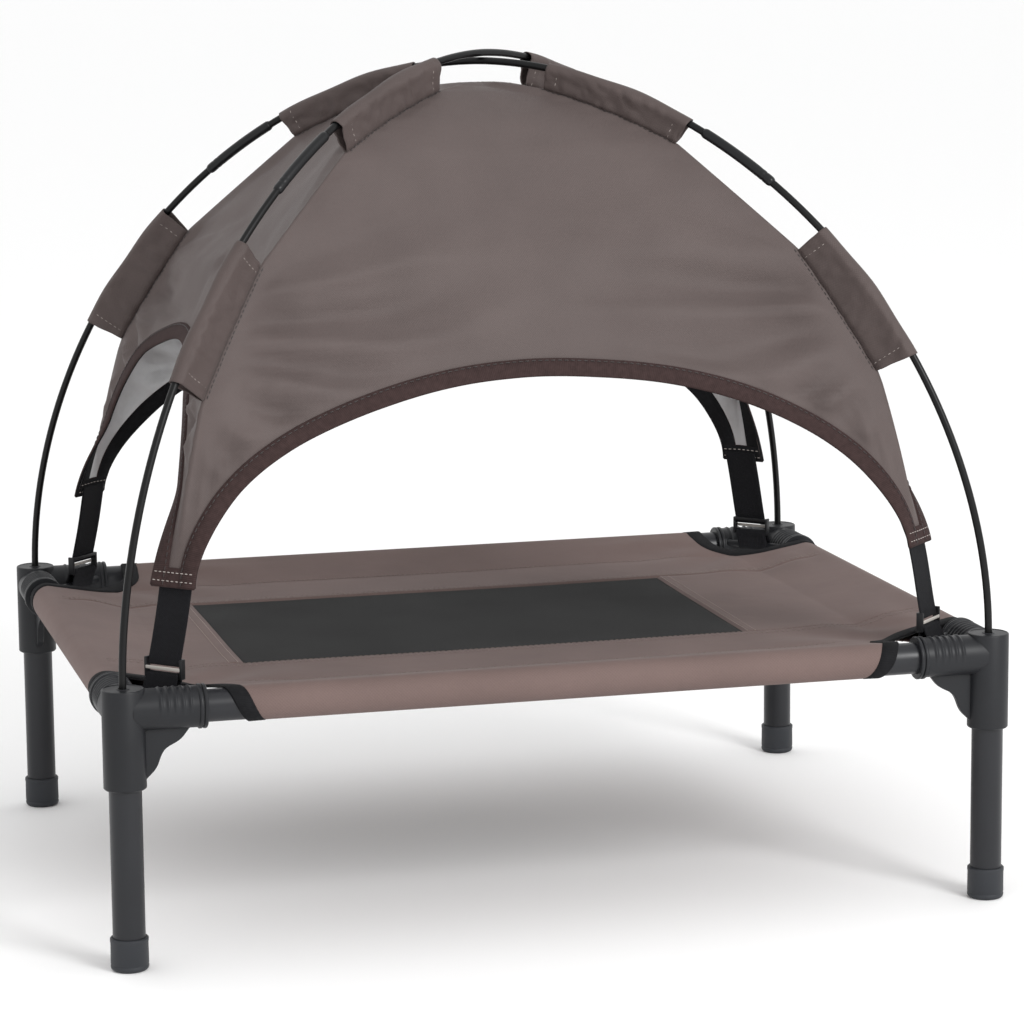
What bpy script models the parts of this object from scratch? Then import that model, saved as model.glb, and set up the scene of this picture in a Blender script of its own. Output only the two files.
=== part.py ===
"""Raised dog bed with a removable pole canopy, in metres, +Z up, +X along the bed, front at -Y.

Origin: on the floor, under the middle of the bed. Four legs with foot caps stand in four corner
fittings, which join four rails. The bed sheet is sewn from two strips, two end panels and a mesh
window, and its sleeves run round the rails. Two crossed three-piece poles stand in sockets in the
corner fittings and carry the canopy, which is tied down by a webbing strap at each corner.
"""

import math

import bmesh
import bpy
from mathutils import Matrix, Vector

# ---- driving dimensions -------------------------------------------------------------------
POST_X = 0.291              # post axis to the middle of the bed, along the bed
POST_Y = 0.217              # post axis to the middle of the bed, across it
BED_TOP = 0.182             # top of the corner fittings
CANOPY_TOP = 0.5645         # centreline of the upper pole where the poles cross
GAP = 0.0003                # clearance kept between pieces that touch

TUBE_R = 0.0105             # legs and rails
TUBE_WALL = 0.0012
POST_R = 0.0137             # outside of the fittings' posts
ARM_R = 0.0133              # and of their arms
POST_BOTTOM = 0.118
LEG_TOP = 0.1495
RAIL_Z = 0.168
RAIL_END = 0.016            # rail end to the post axis
ARM_END = 0.052
LIP_R = 0.0143
LIP_WIDTH = 0.005
BORE_R = TUBE_R + GAP
SOCKET_R = 0.0028           # blind socket for a pole end
SOCKET_BOTTOM = 0.154
GUSSET_THICK = 0.005
GUSSET_ON_ARM = 0.042       # where the gusset's free edge meets the arm and the post
GUSSET_ON_POST_Z = 0.123
BAR_R = 0.0025              # moulded bar that a strap loops round
BAR_REACH = 0.028           # bar's middle to the post axis, along X and along Y
BAR_Z = 0.172

FOOT_R = 0.0123
FOOT_HEIGHT = 0.0213
FOOT_FLOOR = 0.003

FABRIC = 0.0006             # cloth thickness
WRAP_R = TUBE_R + GAP + FABRIC / 2
SEAM_REACH = 0.053          # rail axis to the sleeve seam
SHEET_Z = 0.1690            # cloth between the seams
MESH_X = (-0.195, 0.158)
MESH_Y = 0.104
SEW_GAP = 0.0005            # between the edges of two sewn pieces
NOTCH = (0.0820, 0.0740)    # half axes of the corner cut-out in the cloth, along X and Y
TAPE_WIDTH = 0.0105
SLEEVE_END = 0.020          # the end panels' sleeves to the post axis, before the cut-outs

ROD_R = 0.0025
JOINT_GAP = 0.0006          # between two rods' ends inside a ferrule
ARC_POWER = 1.88            # superellipse power of the bent poles
POLE_STEP = 0.0055          # lower pole's drop under the upper one
FERRULE_R = 0.0035
FERRULE_HALF = 0.0295       # half the ferrule's length along the pole
FERRULE_AT = 0.187          # its distance from the bed's middle axis

SLEEVE_SPANS = {"lower": (0.309, 0.2455), "upper": (0.152, 0.050)}
SLEEVE_R = 0.0035
RIDGE_REACH = 0.329         # the canopy's corner seam is a superellipse with these
RIDGE_TOP = 0.5445
RIDGE_POWER = 1.93
RIDGE_KNEE = (0.290, 0.350)
RIDGE_END = (0.315, 0.240)  # where the canopy's corner is sewn to its strap
RIDGE_BOW = 0.0035
CROWN_R = 0.004
PANEL_INSET = 0.0012        # panel edge to the corner seam

ARCH_BASE = 0.238
ARCHES = {"long": (0.237, 0.361), "short": (0.171, 0.374)}   # half width and top of the opening
ARCH_STEPS = 20
BINDING = 0.011
SAG = {"long": 0.010, "short": 0.007}
TAIL_FLATTENS_AT = 0.300

STRAP_WIDTH = 0.025
STRAP_THICK = 0.0012
STRAP_BEHIND_TAIL = 0.0027  # middle of the strap to the middle of the canopy's cloth
STRAP_SEWN = 0.006          # length of strap sewn inside the canopy's corner
BUCKLE_Z = 0.1875
BUCKLE_WIDTH = 0.0310
BUCKLE_HEIGHT = 0.0130
BUCKLE_BAR = 0.0022
BUCKLE_CLEAR = 0.0009       # the strap's edge to the buckle's side

DIAGONAL = math.hypot(POST_X, POST_Y)
ALONG = POST_X / DIAGONAL
ACROSS = POST_Y / DIAGONAL
CORNERS = {
    "front_left": (-1, -1),
    "front_right": (1, -1),
    "back_left": (-1, 1),
    "back_right": (1, 1),
}

ROUND = 20                  # sides of the tubes and fittings
ROD_SIDES_RESOLUTION = 2


# ---- scene helpers --------------------------------------------------------------------------
def clear_scene():
    for obj in list(bpy.data.objects):
        bpy.data.objects.remove(obj)


def new_collection(name):
    made = bpy.data.collections.new(name)
    bpy.context.scene.collection.children.link(made)
    return made


def make_material(name, colour, roughness, metallic=0.0):
    made = bpy.data.materials.new(name)
    made.use_nodes = True
    shader = made.node_tree.nodes["Principled BSDF"]
    shader.inputs["Base Color"].default_value = (*colour, 1.0)
    shader.inputs["Roughness"].default_value = roughness
    shader.inputs["Metallic"].default_value = metallic
    return made


def add_object(name, data, material=None):
    made = bpy.data.objects.new(name, data)
    PARTS.objects.link(made)
    if material:
        made.data.materials.clear()
        made.data.materials.append(material)
    return made


def as_cutter(obj):
    for holder in list(obj.users_collection):
        holder.objects.unlink(obj)
    CUTTERS.objects.link(obj)
    obj.hide_render = True
    obj.display_type = "WIRE"
    return obj


def mesh_object(name, bm, material=None):
    mesh = bpy.data.meshes.new(name)
    bm.to_mesh(mesh)
    bm.free()
    return add_object(name, mesh, material)


def smooth(mesh, degrees=35):
    mesh.shade_smooth()
    mesh.set_sharp_from_angle(angle=math.radians(degrees))


def baked(obj):
    """The object's shape with its modifiers applied, as a mesh of its own; the object goes."""
    bpy.context.view_layer.update()
    graph = bpy.context.evaluated_depsgraph_get()
    mesh = bpy.data.meshes.new_from_object(obj.evaluated_get(graph))
    mesh.transform(obj.matrix_world)
    bm = bmesh.new()
    bm.from_mesh(mesh)
    bmesh.ops.remove_doubles(bm, verts=bm.verts, dist=1e-6)
    bm.to_mesh(mesh)
    bm.free()
    bpy.data.objects.remove(obj)
    return mesh


def rod_between(name, start, end, radius, sides=ROUND):
    """A plain cylinder from start to end."""
    start, end = Vector(start), Vector(end)
    bm = bmesh.new()
    bmesh.ops.create_cone(
        bm, cap_ends=True, segments=sides, radius1=radius, radius2=radius,
        depth=(end - start).length,
    )
    turn = (end - start).to_track_quat("Z", "Y").to_matrix().to_4x4()
    bmesh.ops.transform(bm, matrix=Matrix.Translation((start + end) / 2) @ turn, verts=bm.verts)
    return mesh_object(name, bm)


def tube_between(name, start, end, radius, wall, material):
    """An open-ended tube from start to end, its wall inside the radius."""
    start, end = Vector(start), Vector(end)
    bm = bmesh.new()
    bmesh.ops.create_cone(
        bm, cap_ends=False, segments=ROUND, radius1=radius, radius2=radius,
        depth=(end - start).length,
    )
    made = mesh_object(name, bm, material)
    made.location = (start + end) / 2
    made.rotation_euler = (end - start).to_track_quat("Z", "Y").to_euler()
    thicken(made, wall, offset=-1)
    smooth(made.data)
    return made


def thicken(obj, thickness, offset=0.0):
    shell = obj.modifiers.new("Thickness", "SOLIDIFY")
    shell.thickness = thickness
    shell.offset = offset
    shell.use_even_offset = True


def boolean(obj, other, operation):
    step = obj.modifiers.new(operation.title(), "BOOLEAN")
    step.operation = operation
    step.object = other
    step.solver = "EXACT"


def poly_curve(name, points, bevel=0.0, resolution=ROD_SIDES_RESOLUTION, caps=False, cyclic=False):
    curve = bpy.data.curves.new(name, "CURVE")
    curve.dimensions = "3D"
    curve.bevel_depth = bevel
    curve.bevel_resolution = resolution
    curve.use_fill_caps = caps
    spline = curve.splines.new("POLY")
    spline.points.add(len(points) - 1)
    for point, place in zip(spline.points, points):
        point.co = (*place, 1.0)
    spline.use_cyclic_u = cyclic
    return curve


def plate(name, outline, thickness):
    """A flat plate in the XZ plane, centred on Y = 0, from its outline of (x, z)."""
    curve = bpy.data.curves.new(name, "CURVE")
    curve.dimensions = "2D"
    curve.fill_mode = "BOTH"
    curve.extrude = thickness / 2
    spline = curve.splines.new("POLY")
    spline.points.add(len(outline) - 1)
    for point, (x, z) in zip(spline.points, outline):
        point.co = (x, z, 0.0, 1.0)
    spline.use_cyclic_u = True
    made = add_object(name, curve)
    made.rotation_euler = (math.radians(90), 0, 0)
    return add_object(name, baked(made))


def grid_shell(name, columns, rows, place, thickness, material, offset=0.0):
    """A cloth shell: a grid of (u, v) from 0 to 1, each point put where place(u, v) says."""
    bm = bmesh.new()
    bmesh.ops.create_grid(bm, x_segments=columns, y_segments=rows, size=0.5)
    for vert in bm.verts:
        vert.co = Vector(place(vert.co.x + 0.5, vert.co.y + 0.5))
    made = mesh_object(name, bm, material)
    thicken(made, thickness, offset)
    smooth(made.data)
    return made


def copies_at_corners(prefix, mesh, material):
    """One object for each corner, mirrored, from a mesh made with its post axis at the origin
    and the bed's middle towards +X and +Y."""
    mesh.materials.clear()
    mesh.materials.append(material)
    for corner, (side_x, side_y) in CORNERS.items():
        made = add_object(f"{prefix}_{corner}", mesh)
        made.location = (side_x * POST_X, side_y * POST_Y, 0)
        made.scale = (-side_x, -side_y, 1)


# ---- frame ----------------------------------------------------------------------------------
def gusset_outline():
    """Web under an arm: square against the arm and post, its free edge an ogee."""
    arm_z = RAIL_Z - ARM_R + 0.0006
    start = Vector((GUSSET_ON_ARM, arm_z))
    end = Vector((POST_R - 0.0006, GUSSET_ON_POST_Z))
    inward = Vector((-1, 1)).normalized()
    steps = 12
    edge = []
    for i in range(steps + 1):
        t = i / steps
        dip = 0.0016 * (1 - math.cos(2 * math.pi * t)) - 0.0008 * (1 - math.cos(4 * math.pi * t))
        edge.append(tuple(start.lerp(end, t) + inward * dip))
    root = 0.004                # how far the web runs into the post and the arm
    return [*edge, (root, GUSSET_ON_POST_Z), (root, arm_z + root), (GUSSET_ON_ARM, arm_z + root)]


def fitting_mesh():
    body = rod_between("fitting", (0, 0, POST_BOTTOM), (0, 0, BED_TOP), POST_R)
    adds = []
    cuts = [
        rod_between("leg_bore", (0, 0, POST_BOTTOM - 0.01), (0, 0, LEG_TOP + GAP), BORE_R),
        rod_between("pole_socket", (0, 0, SOCKET_BOTTOM), (0, 0, BED_TOP + 0.01), SOCKET_R, 12),
    ]
    for axis in (Vector((1, 0, 0)), Vector((0, 1, 0))):
        middle = Vector((0, 0, RAIL_Z))
        adds.append(rod_between("arm", middle, middle + axis * ARM_END, ARM_R))
        lip_start = middle + axis * (ARM_END - LIP_WIDTH)
        adds.append(rod_between("lip", lip_start, middle + axis * (ARM_END + GAP), LIP_R))
        cuts.append(rod_between(
            "rail_bore", middle + axis * (RAIL_END - GAP), middle + axis * (ARM_END + 0.01), BORE_R,
        ))
    for turn in (0, 90):
        web = plate("gusset", gusset_outline(), GUSSET_THICK)
        web.rotation_euler = (0, 0, math.radians(turn))
        adds.append(web)
    # The bar's ends stop inside the arms' walls.
    bar_end = ARM_R - 0.0015
    bar_far = 2 * BAR_REACH - bar_end
    adds.append(rod_between("bar", (bar_far, bar_end, BAR_Z), (bar_end, bar_far, BAR_Z), BAR_R, 10))
    for piece in adds:
        boolean(body, as_cutter(piece), "UNION")
    for piece in cuts:
        boolean(body, as_cutter(piece), "DIFFERENCE")
    mesh = baked(body)
    smooth(mesh)
    return mesh


def foot_mesh():
    """A turned cap: outside from its rim down, under the floor, and up the inside."""
    edge = 0.0015
    profile = [
        (BORE_R, FOOT_HEIGHT), (FOOT_R - edge / 2, FOOT_HEIGHT), (FOOT_R, FOOT_HEIGHT - edge / 2),
        (FOOT_R, edge), (FOOT_R - edge, 0.0), (0.0, 0.0), (0.0, FOOT_FLOOR), (BORE_R, FOOT_FLOOR),
    ]
    bm = bmesh.new()
    verts = [bm.verts.new((x, 0, z)) for x, z in profile]
    for a, b in zip(verts, verts[1:] + verts[:1]):
        if a.co.x > 0 or b.co.x > 0:
            bm.edges.new((a, b))
    turned = mesh_object("foot", bm)
    screw = turned.modifiers.new("Turn", "SCREW")
    screw.steps = ROUND
    screw.render_steps = ROUND
    screw.use_merge_vertices = True
    screw.merge_threshold = 0.0001
    mesh = baked(turned)
    smooth(mesh)
    return mesh


def make_frame():
    copies_at_corners("corner_fitting", fitting_mesh(), PLASTIC)
    copies_at_corners("foot", foot_mesh(), RUBBER)
    for corner, (side_x, side_y) in CORNERS.items():
        x, y = side_x * POST_X, side_y * POST_Y
        tube_between(f"leg_{corner}", (x, y, FOOT_FLOOR + GAP), (x, y, LEG_TOP), TUBE_R, TUBE_WALL, STEEL)
    for name, side in (("front", -1), ("back", 1)):
        end = POST_X - RAIL_END
        y = side * POST_Y
        tube_between(f"rail_{name}", (-end, y, RAIL_Z), (end, y, RAIL_Z), TUBE_R, TUBE_WALL, STEEL)
    for name, side in (("left", -1), ("right", 1)):
        end = POST_Y - RAIL_END
        x = side * POST_X
        tube_between(f"rail_{name}", (x, -end, RAIL_Z), (x, end, RAIL_Z), TUBE_R, TUBE_WALL, STEEL)


# ---- bed sheet --------------------------------------------------------------------------------
def sleeve_path(post, inner):
    """Section of a strip and its sleeve, as (distance from the bed's middle, z): from the inner
    edge flat to the seam, over the rail, round it, and back under it to the seam."""
    seam = post - SEAM_REACH
    lean = math.acos(WRAP_R / SEAM_REACH)
    arc_steps = 10
    path = [(inner, SHEET_Z), (seam, SHEET_Z), (seam + SEW_GAP, SHEET_Z)]
    for i in range(arc_steps + 1):
        angle = math.pi - lean - (2 * math.pi - 2 * lean) * i / arc_steps
        path.append((post + WRAP_R * math.cos(angle), RAIL_Z + WRAP_R * math.sin(angle)))
    path.append((seam + 0.004, SHEET_Z - 2.5 * FABRIC))
    return path


def notch_cutters():
    cutters = []
    for corner, (side_x, side_y) in CORNERS.items():
        cutter = rod_between(f"notch_{corner}", (0, 0, 0), (0, 0, 0.3), 1.0, 48)
        cutter.data.transform(Matrix.Diagonal((*NOTCH, 1, 1)))
        cutter.location = (side_x * POST_X, side_y * POST_Y, 0)
        cutters.append(as_cutter(cutter))
    return cutters


def sheet_piece(name, post, inner, half_length, turn, cutters):
    """One strip of the sheet with its sleeve, cut out at the corners. Its sleeve faces +X when
    turn is 0."""
    curve = poly_curve(name, [(reach, z, 0) for reach, z in sleeve_path(post, inner)])
    curve.extrude = half_length
    ribbon = add_object(name, curve)
    ribbon.rotation_euler = (math.radians(90), 0, math.radians(turn))
    made = add_object(name, baked(ribbon), CLOTH)
    thicken(made, FABRIC)
    for cutter in cutters:
        boolean(made, cutter, "DIFFERENCE")
    smooth(made.data)
    return made


def sheet_height(reach):
    """Height of the sheet over a point that is reach inboard of the nearer rail's axis."""
    rise = WRAP_R * math.sin(math.acos(WRAP_R / SEAM_REACH))
    share = min(1.0, max(0.0, 1 - reach / SEAM_REACH))
    return SHEET_Z + (RAIL_Z + rise - SHEET_Z) * share


def tape_stations():
    """Where the binding tape of a cut-out runs, as (x, y, z) per unit of its half axes: round the
    rail along X from below, along the cut-out's arc, and round the rail along Y to below."""
    radius = WRAP_R + FABRIC / 2
    leave = math.acos(radius / SEAM_REACH)
    wrap_steps, arc_steps = 8, 12
    below = math.radians(285)
    rail = []
    for i in range(wrap_steps + 1):
        angle = below + (leave - below) * i / wrap_steps
        rail.append((radius * math.cos(angle), RAIL_Z + radius * math.sin(angle)))
    start = math.asin(rail[-1][0] / NOTCH[1])
    end = math.acos(rail[-1][0] / NOTCH[0])
    stations = [("along_x", across, z) for across, z in rail]
    stations += [("arc", start + (end - start) * i / arc_steps, None) for i in range(1, arc_steps)]
    stations += [("along_y", across, z) for across, z in reversed(rail)]
    return stations


def notch_tape_mesh():
    """Binding tape of one corner cut-out, made with its post axis at the origin."""
    stations = tape_stations()

    def place(u, v):
        kind, value, z = stations[round(u * (len(stations) - 1))]
        inset = SEW_GAP + TAPE_WIDTH * (1 - v)
        half_x, half_y = NOTCH[0] - inset, NOTCH[1] - inset
        if kind == "along_x":
            return half_x * math.sqrt(1 - (value / half_y) ** 2), value, z
        if kind == "along_y":
            return value, half_y * math.sqrt(1 - (value / half_x) ** 2), z
        x, y = half_x * math.cos(value), half_y * math.sin(value)
        return x, y, sheet_height(min(x, y))

    mesh = baked(grid_shell("notch_tape", len(stations) - 1, 1, place, 2 * FABRIC, TAPE))
    smooth(mesh)
    return mesh


def make_sheet():
    cutters = notch_cutters()
    strip_half = POST_X - SEAM_REACH - SEW_GAP / 2
    end_half = MESH_Y - SEW_GAP / 2
    for name, turn in (("front", -90), ("back", 90)):
        sheet_piece(f"sheet_{name}_strip", POST_Y, MESH_Y + SEW_GAP / 2, strip_half, turn, cutters)
    for name, turn, inner in (("left", 180, -MESH_X[0]), ("right", 0, MESH_X[1])):
        inner_edge = inner + SEW_GAP / 2
        widen_sleeve(sheet_piece(f"sheet_{name}_panel", POST_X, inner_edge, end_half, turn, cutters))
    copies_at_corners("notch_tape", notch_tape_mesh(), TAPE)

    def place(u, v):
        left, right = MESH_X[0] + SEW_GAP / 2, MESH_X[1] - SEW_GAP / 2
        edge = MESH_Y - SEW_GAP / 2
        return left + (right - left) * u, edge * (2 * v - 1), SHEET_Z

    grid_shell("mesh_window", 6, 4, place, FABRIC, NET)


def widen_sleeve(panel):
    """The end panel's sleeve runs on past the strips' seams, as far as the corner cut-outs."""
    widened = (POST_Y - SLEEVE_END) / (MESH_Y - SEW_GAP / 2)
    seam = POST_X - SEAM_REACH + SEW_GAP / 2
    for vert in panel.data.vertices:
        if abs(vert.co.x) > seam:
            vert.co.y *= widened


# ---- poles ------------------------------------------------------------------------------------
def diagonal_point(side_x, side_y, reach, z):
    """A point in the upright plane through the middle of the bed and a post."""
    return Vector((side_x * reach * ALONG, side_y * reach * ACROSS, z))


def pole_point(angle, top):
    """(reach, z) on a bent pole: angle 0 at a fitting, a right angle at the top."""
    power = 2 / ARC_POWER
    reach = DIAGONAL * max(0.0, math.cos(angle)) ** power
    return reach, BED_TOP + (top - BED_TOP) * max(0.0, math.sin(angle)) ** power


def pole_angle(reach):
    return math.acos((reach / DIAGONAL) ** (ARC_POWER / 2))


def pole_length(first, last, top):
    steps = 40
    places = [Vector(pole_point(first + (last - first) * i / steps, top)) for i in range(steps + 1)]
    return sum((b - a).length for a, b in zip(places, places[1:]))


def angle_along(start, distance, top):
    """The pole's angle at a distance along it from start, towards the top when positive."""
    step = math.copysign(0.0005, distance)
    angle = start
    while pole_length(min(start, angle), max(start, angle), top) < abs(distance):
        angle += step
    return angle


def arm_path(side, first, last, top, steps):
    """Points on one half of a pole, from angle first to angle last."""
    angles = [first + (last - first) * i / steps for i in range(steps + 1)]
    return [diagonal_point(*side, *pole_point(angle, top)) for angle in angles]


def rod_mesh(points, radius):
    """A solid bent rod through points, as a closed mesh."""
    return baked(add_object("rod", poly_curve("rod", points, radius, caps=True)))


def make_lower_rod(name, side, top, joint):
    """An end rod of a pole with its ferrule fixed on: a stepped rod, bored for the next one."""
    low = angle_along(joint, -FERRULE_HALF, top)
    high = angle_along(joint, FERRULE_HALF, top)
    beyond = angle_along(joint, FERRULE_HALF + 0.002, top)
    foot = diagonal_point(*side, DIAGONAL, SOCKET_BOTTOM + GAP)
    rod = add_object(name, rod_mesh([foot, *arm_path(side, 0, joint, top, 12)], ROD_R), FIBREGLASS)
    ferrule = add_object("ferrule", rod_mesh(arm_path(side, low, high, top, 4), FERRULE_R))
    bore = add_object("ferrule_bore", rod_mesh(arm_path(side, joint, beyond, top, 4), ROD_R + GAP))
    boolean(rod, as_cutter(ferrule), "UNION")
    boolean(rod, as_cutter(bore), "DIFFERENCE")
    smooth(rod.data)


def make_pole(label, first_corner, last_corner, top):
    first, last = CORNERS[first_corner], CORNERS[last_corner]
    joint = pole_angle(FERRULE_AT)
    for corner in (first_corner, last_corner):
        make_lower_rod(f"{label}_pole_lower_{corner}", CORNERS[corner], top, joint)
    above = angle_along(joint, JOINT_GAP, top)
    rise = arm_path(first, above, math.pi / 2, top, 12)
    fall = arm_path(last, above, math.pi / 2, top, 12)
    middle = add_object(f"{label}_pole_middle", rod_mesh(rise + fall[-2::-1], ROD_R), FIBREGLASS)
    smooth(middle.data)


# ---- canopy -----------------------------------------------------------------------------------
def ridge_at(share):
    """(reach, z) on the canopy's corner seam: share 0 at the crown, 1 where the strap starts.
    A superellipse from the crown to the knee, then a slightly bowed run down to the strap."""
    knee_share = 0.72
    if share <= knee_share:
        power = RIDGE_POWER
        knee_angle = math.acos((RIDGE_KNEE[0] / RIDGE_REACH) ** (power / 2))
        crown_angle = math.acos((CROWN_R / RIDGE_REACH) ** (power / 2))
        angle = crown_angle + (knee_angle - crown_angle) * share / knee_share
        height = RIDGE_TOP - BED_TOP
        reach = RIDGE_REACH * math.cos(angle) ** (2 / power)
        return reach, BED_TOP + height * math.sin(angle) ** (2 / power)
    t = (share - knee_share) / (1 - knee_share)
    top_reach, top_z = ridge_at(knee_share)
    bow = RIDGE_BOW * 4 * t * (1 - t)
    return top_reach + (RIDGE_END[0] - top_reach) * t + bow, top_z + (RIDGE_END[1] - top_z) * t


def arch_station(spread, shape, grow):
    """Where the opening's edge, grown by grow, is at an angle round it from 0 to pi: its column
    across the panel, from -1 to 1, and its share down the corner seam."""
    half, top = ARCHES[shape]
    z = max(RIDGE_END[1], ARCH_BASE + (top + grow - ARCH_BASE) * math.sin(spread))
    share = share_at(z)
    limit = ridge_at(share)[0] * (ALONG if shape == "long" else ACROSS) - PANEL_INSET
    column = -(half + grow) * math.cos(spread) / limit
    return max(-1.0, min(1.0, column)), share


def panel_point(column, share, shape):
    """A point on a canopy panel that faces -Y when long, or -X when short."""
    reach, z = ridge_at(share)
    long_panel = shape == "long"
    half, out = reach * ALONG, reach * ACROSS
    if not long_panel:
        half, out = out, half
    belly = math.sin(math.pi * share / 0.9) if share < 0.9 else 0.0
    sag = SAG[shape] * (1 - column * column) * belly
    from_ridge = half - (half - PANEL_INSET) * abs(column)
    # Towards the strap the corner opens out flat, square to the corner's bisector.
    flat = min(1.0, max(0.0, (TAIL_FLATTENS_AT - z) / (TAIL_FLATTENS_AT - RIDGE_END[1])))
    turn = math.radians(45) * flat * flat * (3 - 2 * flat)
    side = math.copysign(half - from_ridge * math.cos(turn), column)
    outward = out - sag + from_ridge * math.sin(turn)
    return (side, -outward, z) if long_panel else (-outward, side, z)


def make_panel(name, shape, flip):
    """A canopy panel down to its opening, and the tape that binds the opening's edge."""
    angles = [math.pi * i / ARCH_STEPS for i in range(ARCH_STEPS + 1)]
    ends = [arch_station(angle, shape, BINDING + SEW_GAP) for angle in angles]
    columns = [(-1.0, 1.0), *ends, (1.0, 1.0)]

    def cloth(u, v):
        column, end = columns[round(u * (len(columns) - 1))]
        return panel_point(column, end * v, shape)

    def tape(u, v):
        return panel_point(*arch_station(math.pi * u, shape, BINDING * v), shape)

    panel = grid_shell(f"canopy_panel_{name}", len(columns) - 1, 9, cloth, FABRIC, CANOPY)
    binding = grid_shell(f"arch_binding_{name}", ARCH_STEPS, 1, tape, 2 * FABRIC, BINDING_TAPE)
    for piece in (panel, binding):
        piece.scale = flip


def share_at(z):
    """The share down the corner seam at height z."""
    low, high = 0.0, 1.0
    for _ in range(40):
        middle = (low + high) / 2
        if ridge_at(middle)[1] > z:
            low = middle
        else:
            high = middle
    return (low + high) / 2


def sleeve_ring(reach, z, seam_reach, seam_z):
    """Section of a pole sleeve, as (reach, z, offset out of the pole's plane): round the pole on
    its far side, and closing to a seam just above the canopy's corner seam."""
    away = Vector((reach - seam_reach, z - seam_z))
    away.normalize()
    aside = math.radians(100)
    arc_steps = 6
    ring = []
    for i in range(arc_steps + 1):
        angle = -aside + 2 * aside * i / arc_steps
        along, out = SLEEVE_R * math.cos(angle), SLEEVE_R * math.sin(angle)
        ring.append((reach + away.x * along, z + away.y * along, out))
    clear = 0.0022
    tip = (seam_reach + away.x * clear, seam_z + away.y * clear)
    return [*ring, (*tip, 0.0012), (*tip, -0.0012)]


def make_sleeve(corner, level, top):
    side = CORNERS[corner]
    aside = Vector((-side[1] * ACROSS, side[0] * ALONG, 0)).normalized()
    start, end = SLEEVE_SPANS[level]
    first, last = pole_angle(start), pole_angle(end)
    stations = 6
    bm = bmesh.new()
    rings = []
    for i in range(stations + 1):
        reach, z = pole_point(first + (last - first) * i / stations, top)
        seam_reach, seam_z = seam_under(reach, z)
        ring = [
            bm.verts.new(diagonal_point(*side, r, height) + aside * out)
            for r, height, out in sleeve_ring(reach, z, seam_reach, seam_z)
        ]
        rings.append(ring)
    for low, high in zip(rings, rings[1:]):
        for i in range(len(low)):
            j = (i + 1) % len(low)
            bm.faces.new((low[i], low[j], high[j], high[i]))
    bmesh.ops.recalc_face_normals(bm, faces=bm.faces)
    made = mesh_object(f"pole_sleeve_{level}_{corner}", bm, CANOPY)
    thicken(made, FABRIC)
    smooth(made.data, 50)


def seam_under(reach, z):
    """The nearest point of the corner seam to a point on the pole."""
    steps = 300
    places = [ridge_at(i / steps) for i in range(steps + 1)]
    return min(places, key=lambda p: (p[0] - reach) ** 2 + (p[1] - z) ** 2)


# ---- straps -----------------------------------------------------------------------------------
# Made at a corner whose post axis is the origin, with the bed's middle towards +X and +Y.
INWARD = Vector((1, 1, 0)).normalized()
SIDEWAYS = Vector((1, -1, 0)).normalized()


def strap_point(depth, side, z):
    """A point from its distances inward of the fitting's bar and sideways of the bar's middle."""
    return Vector((BAR_REACH, BAR_REACH, z)) + INWARD * depth + SIDEWAYS * side


def strap_line(z):
    """Middle of the canopy's strap at height z, as (inward, sideways) of the fitting's bar."""
    from_post = DIAGONAL - RIDGE_END[0]
    tail = Vector((from_post * ALONG - BAR_REACH, from_post * ACROSS - BAR_REACH, 0))
    share = (z - BAR_Z) / (RIDGE_END[1] - BAR_Z)
    return (tail.dot(INWARD) + STRAP_BEHIND_TAIL) * share, tail.dot(SIDEWAYS) * share


def webbing_mesh(path, closed=False):
    """A strip of webbing along its path of (inward, sideways, z)."""
    bm = bmesh.new()
    rows = []
    for edge in (-STRAP_WIDTH / 2, STRAP_WIDTH / 2):
        rows.append([bm.verts.new(strap_point(depth, side + edge, z)) for depth, side, z in path])
    last = len(path) if closed else len(path) - 1
    for i in range(last):
        j = (i + 1) % len(path)
        bm.faces.new((rows[0][i], rows[1][i], rows[1][j], rows[0][j]))
    strip = mesh_object("webbing", bm)
    thicken(strip, STRAP_THICK)
    mesh = baked(strip)
    smooth(mesh)
    return mesh


def strap_mesh():
    """The canopy's strap: from inside the canopy's corner down to the buckle's middle bar."""
    top, bottom = RIDGE_END[1] + STRAP_SEWN, BUCKLE_Z + BUCKLE_BAR / 2 + GAP
    heights = [bottom + (top - bottom) * i / 4 for i in range(5)]
    return webbing_mesh([(*strap_line(z), z) for z in heights])


def buckle_bar_place(z):
    """Middle of a buckle bar behind the strap at height z, as (inward, sideways)."""
    depth, side = strap_line(z)
    return depth + STRAP_THICK / 2 + GAP + BUCKLE_BAR / 2, side


def loop_mesh():
    """The short loop of webbing round the fitting's bar and the buckle's bottom bar."""
    low_z, high_z = BAR_Z, BUCKLE_Z - BUCKLE_HEIGHT / 2 + BUCKLE_BAR / 2
    high_in, high_side = buckle_bar_place(high_z)
    low_r = BAR_R + GAP + STRAP_THICK / 2
    high_r = BUCKLE_BAR / math.sqrt(2) + GAP + STRAP_THICK / 2
    path = []
    arc_steps = 6
    for i in range(arc_steps + 1):
        angle = math.pi * i / arc_steps
        path.append((high_in + high_r * math.cos(angle), high_side, high_z + high_r * math.sin(angle)))
    for i in range(arc_steps + 1):
        angle = math.pi + math.pi * i / arc_steps
        path.append((low_r * math.cos(angle), 0.0, low_z + low_r * math.sin(angle)))
    return webbing_mesh(path, closed=True)


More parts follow.
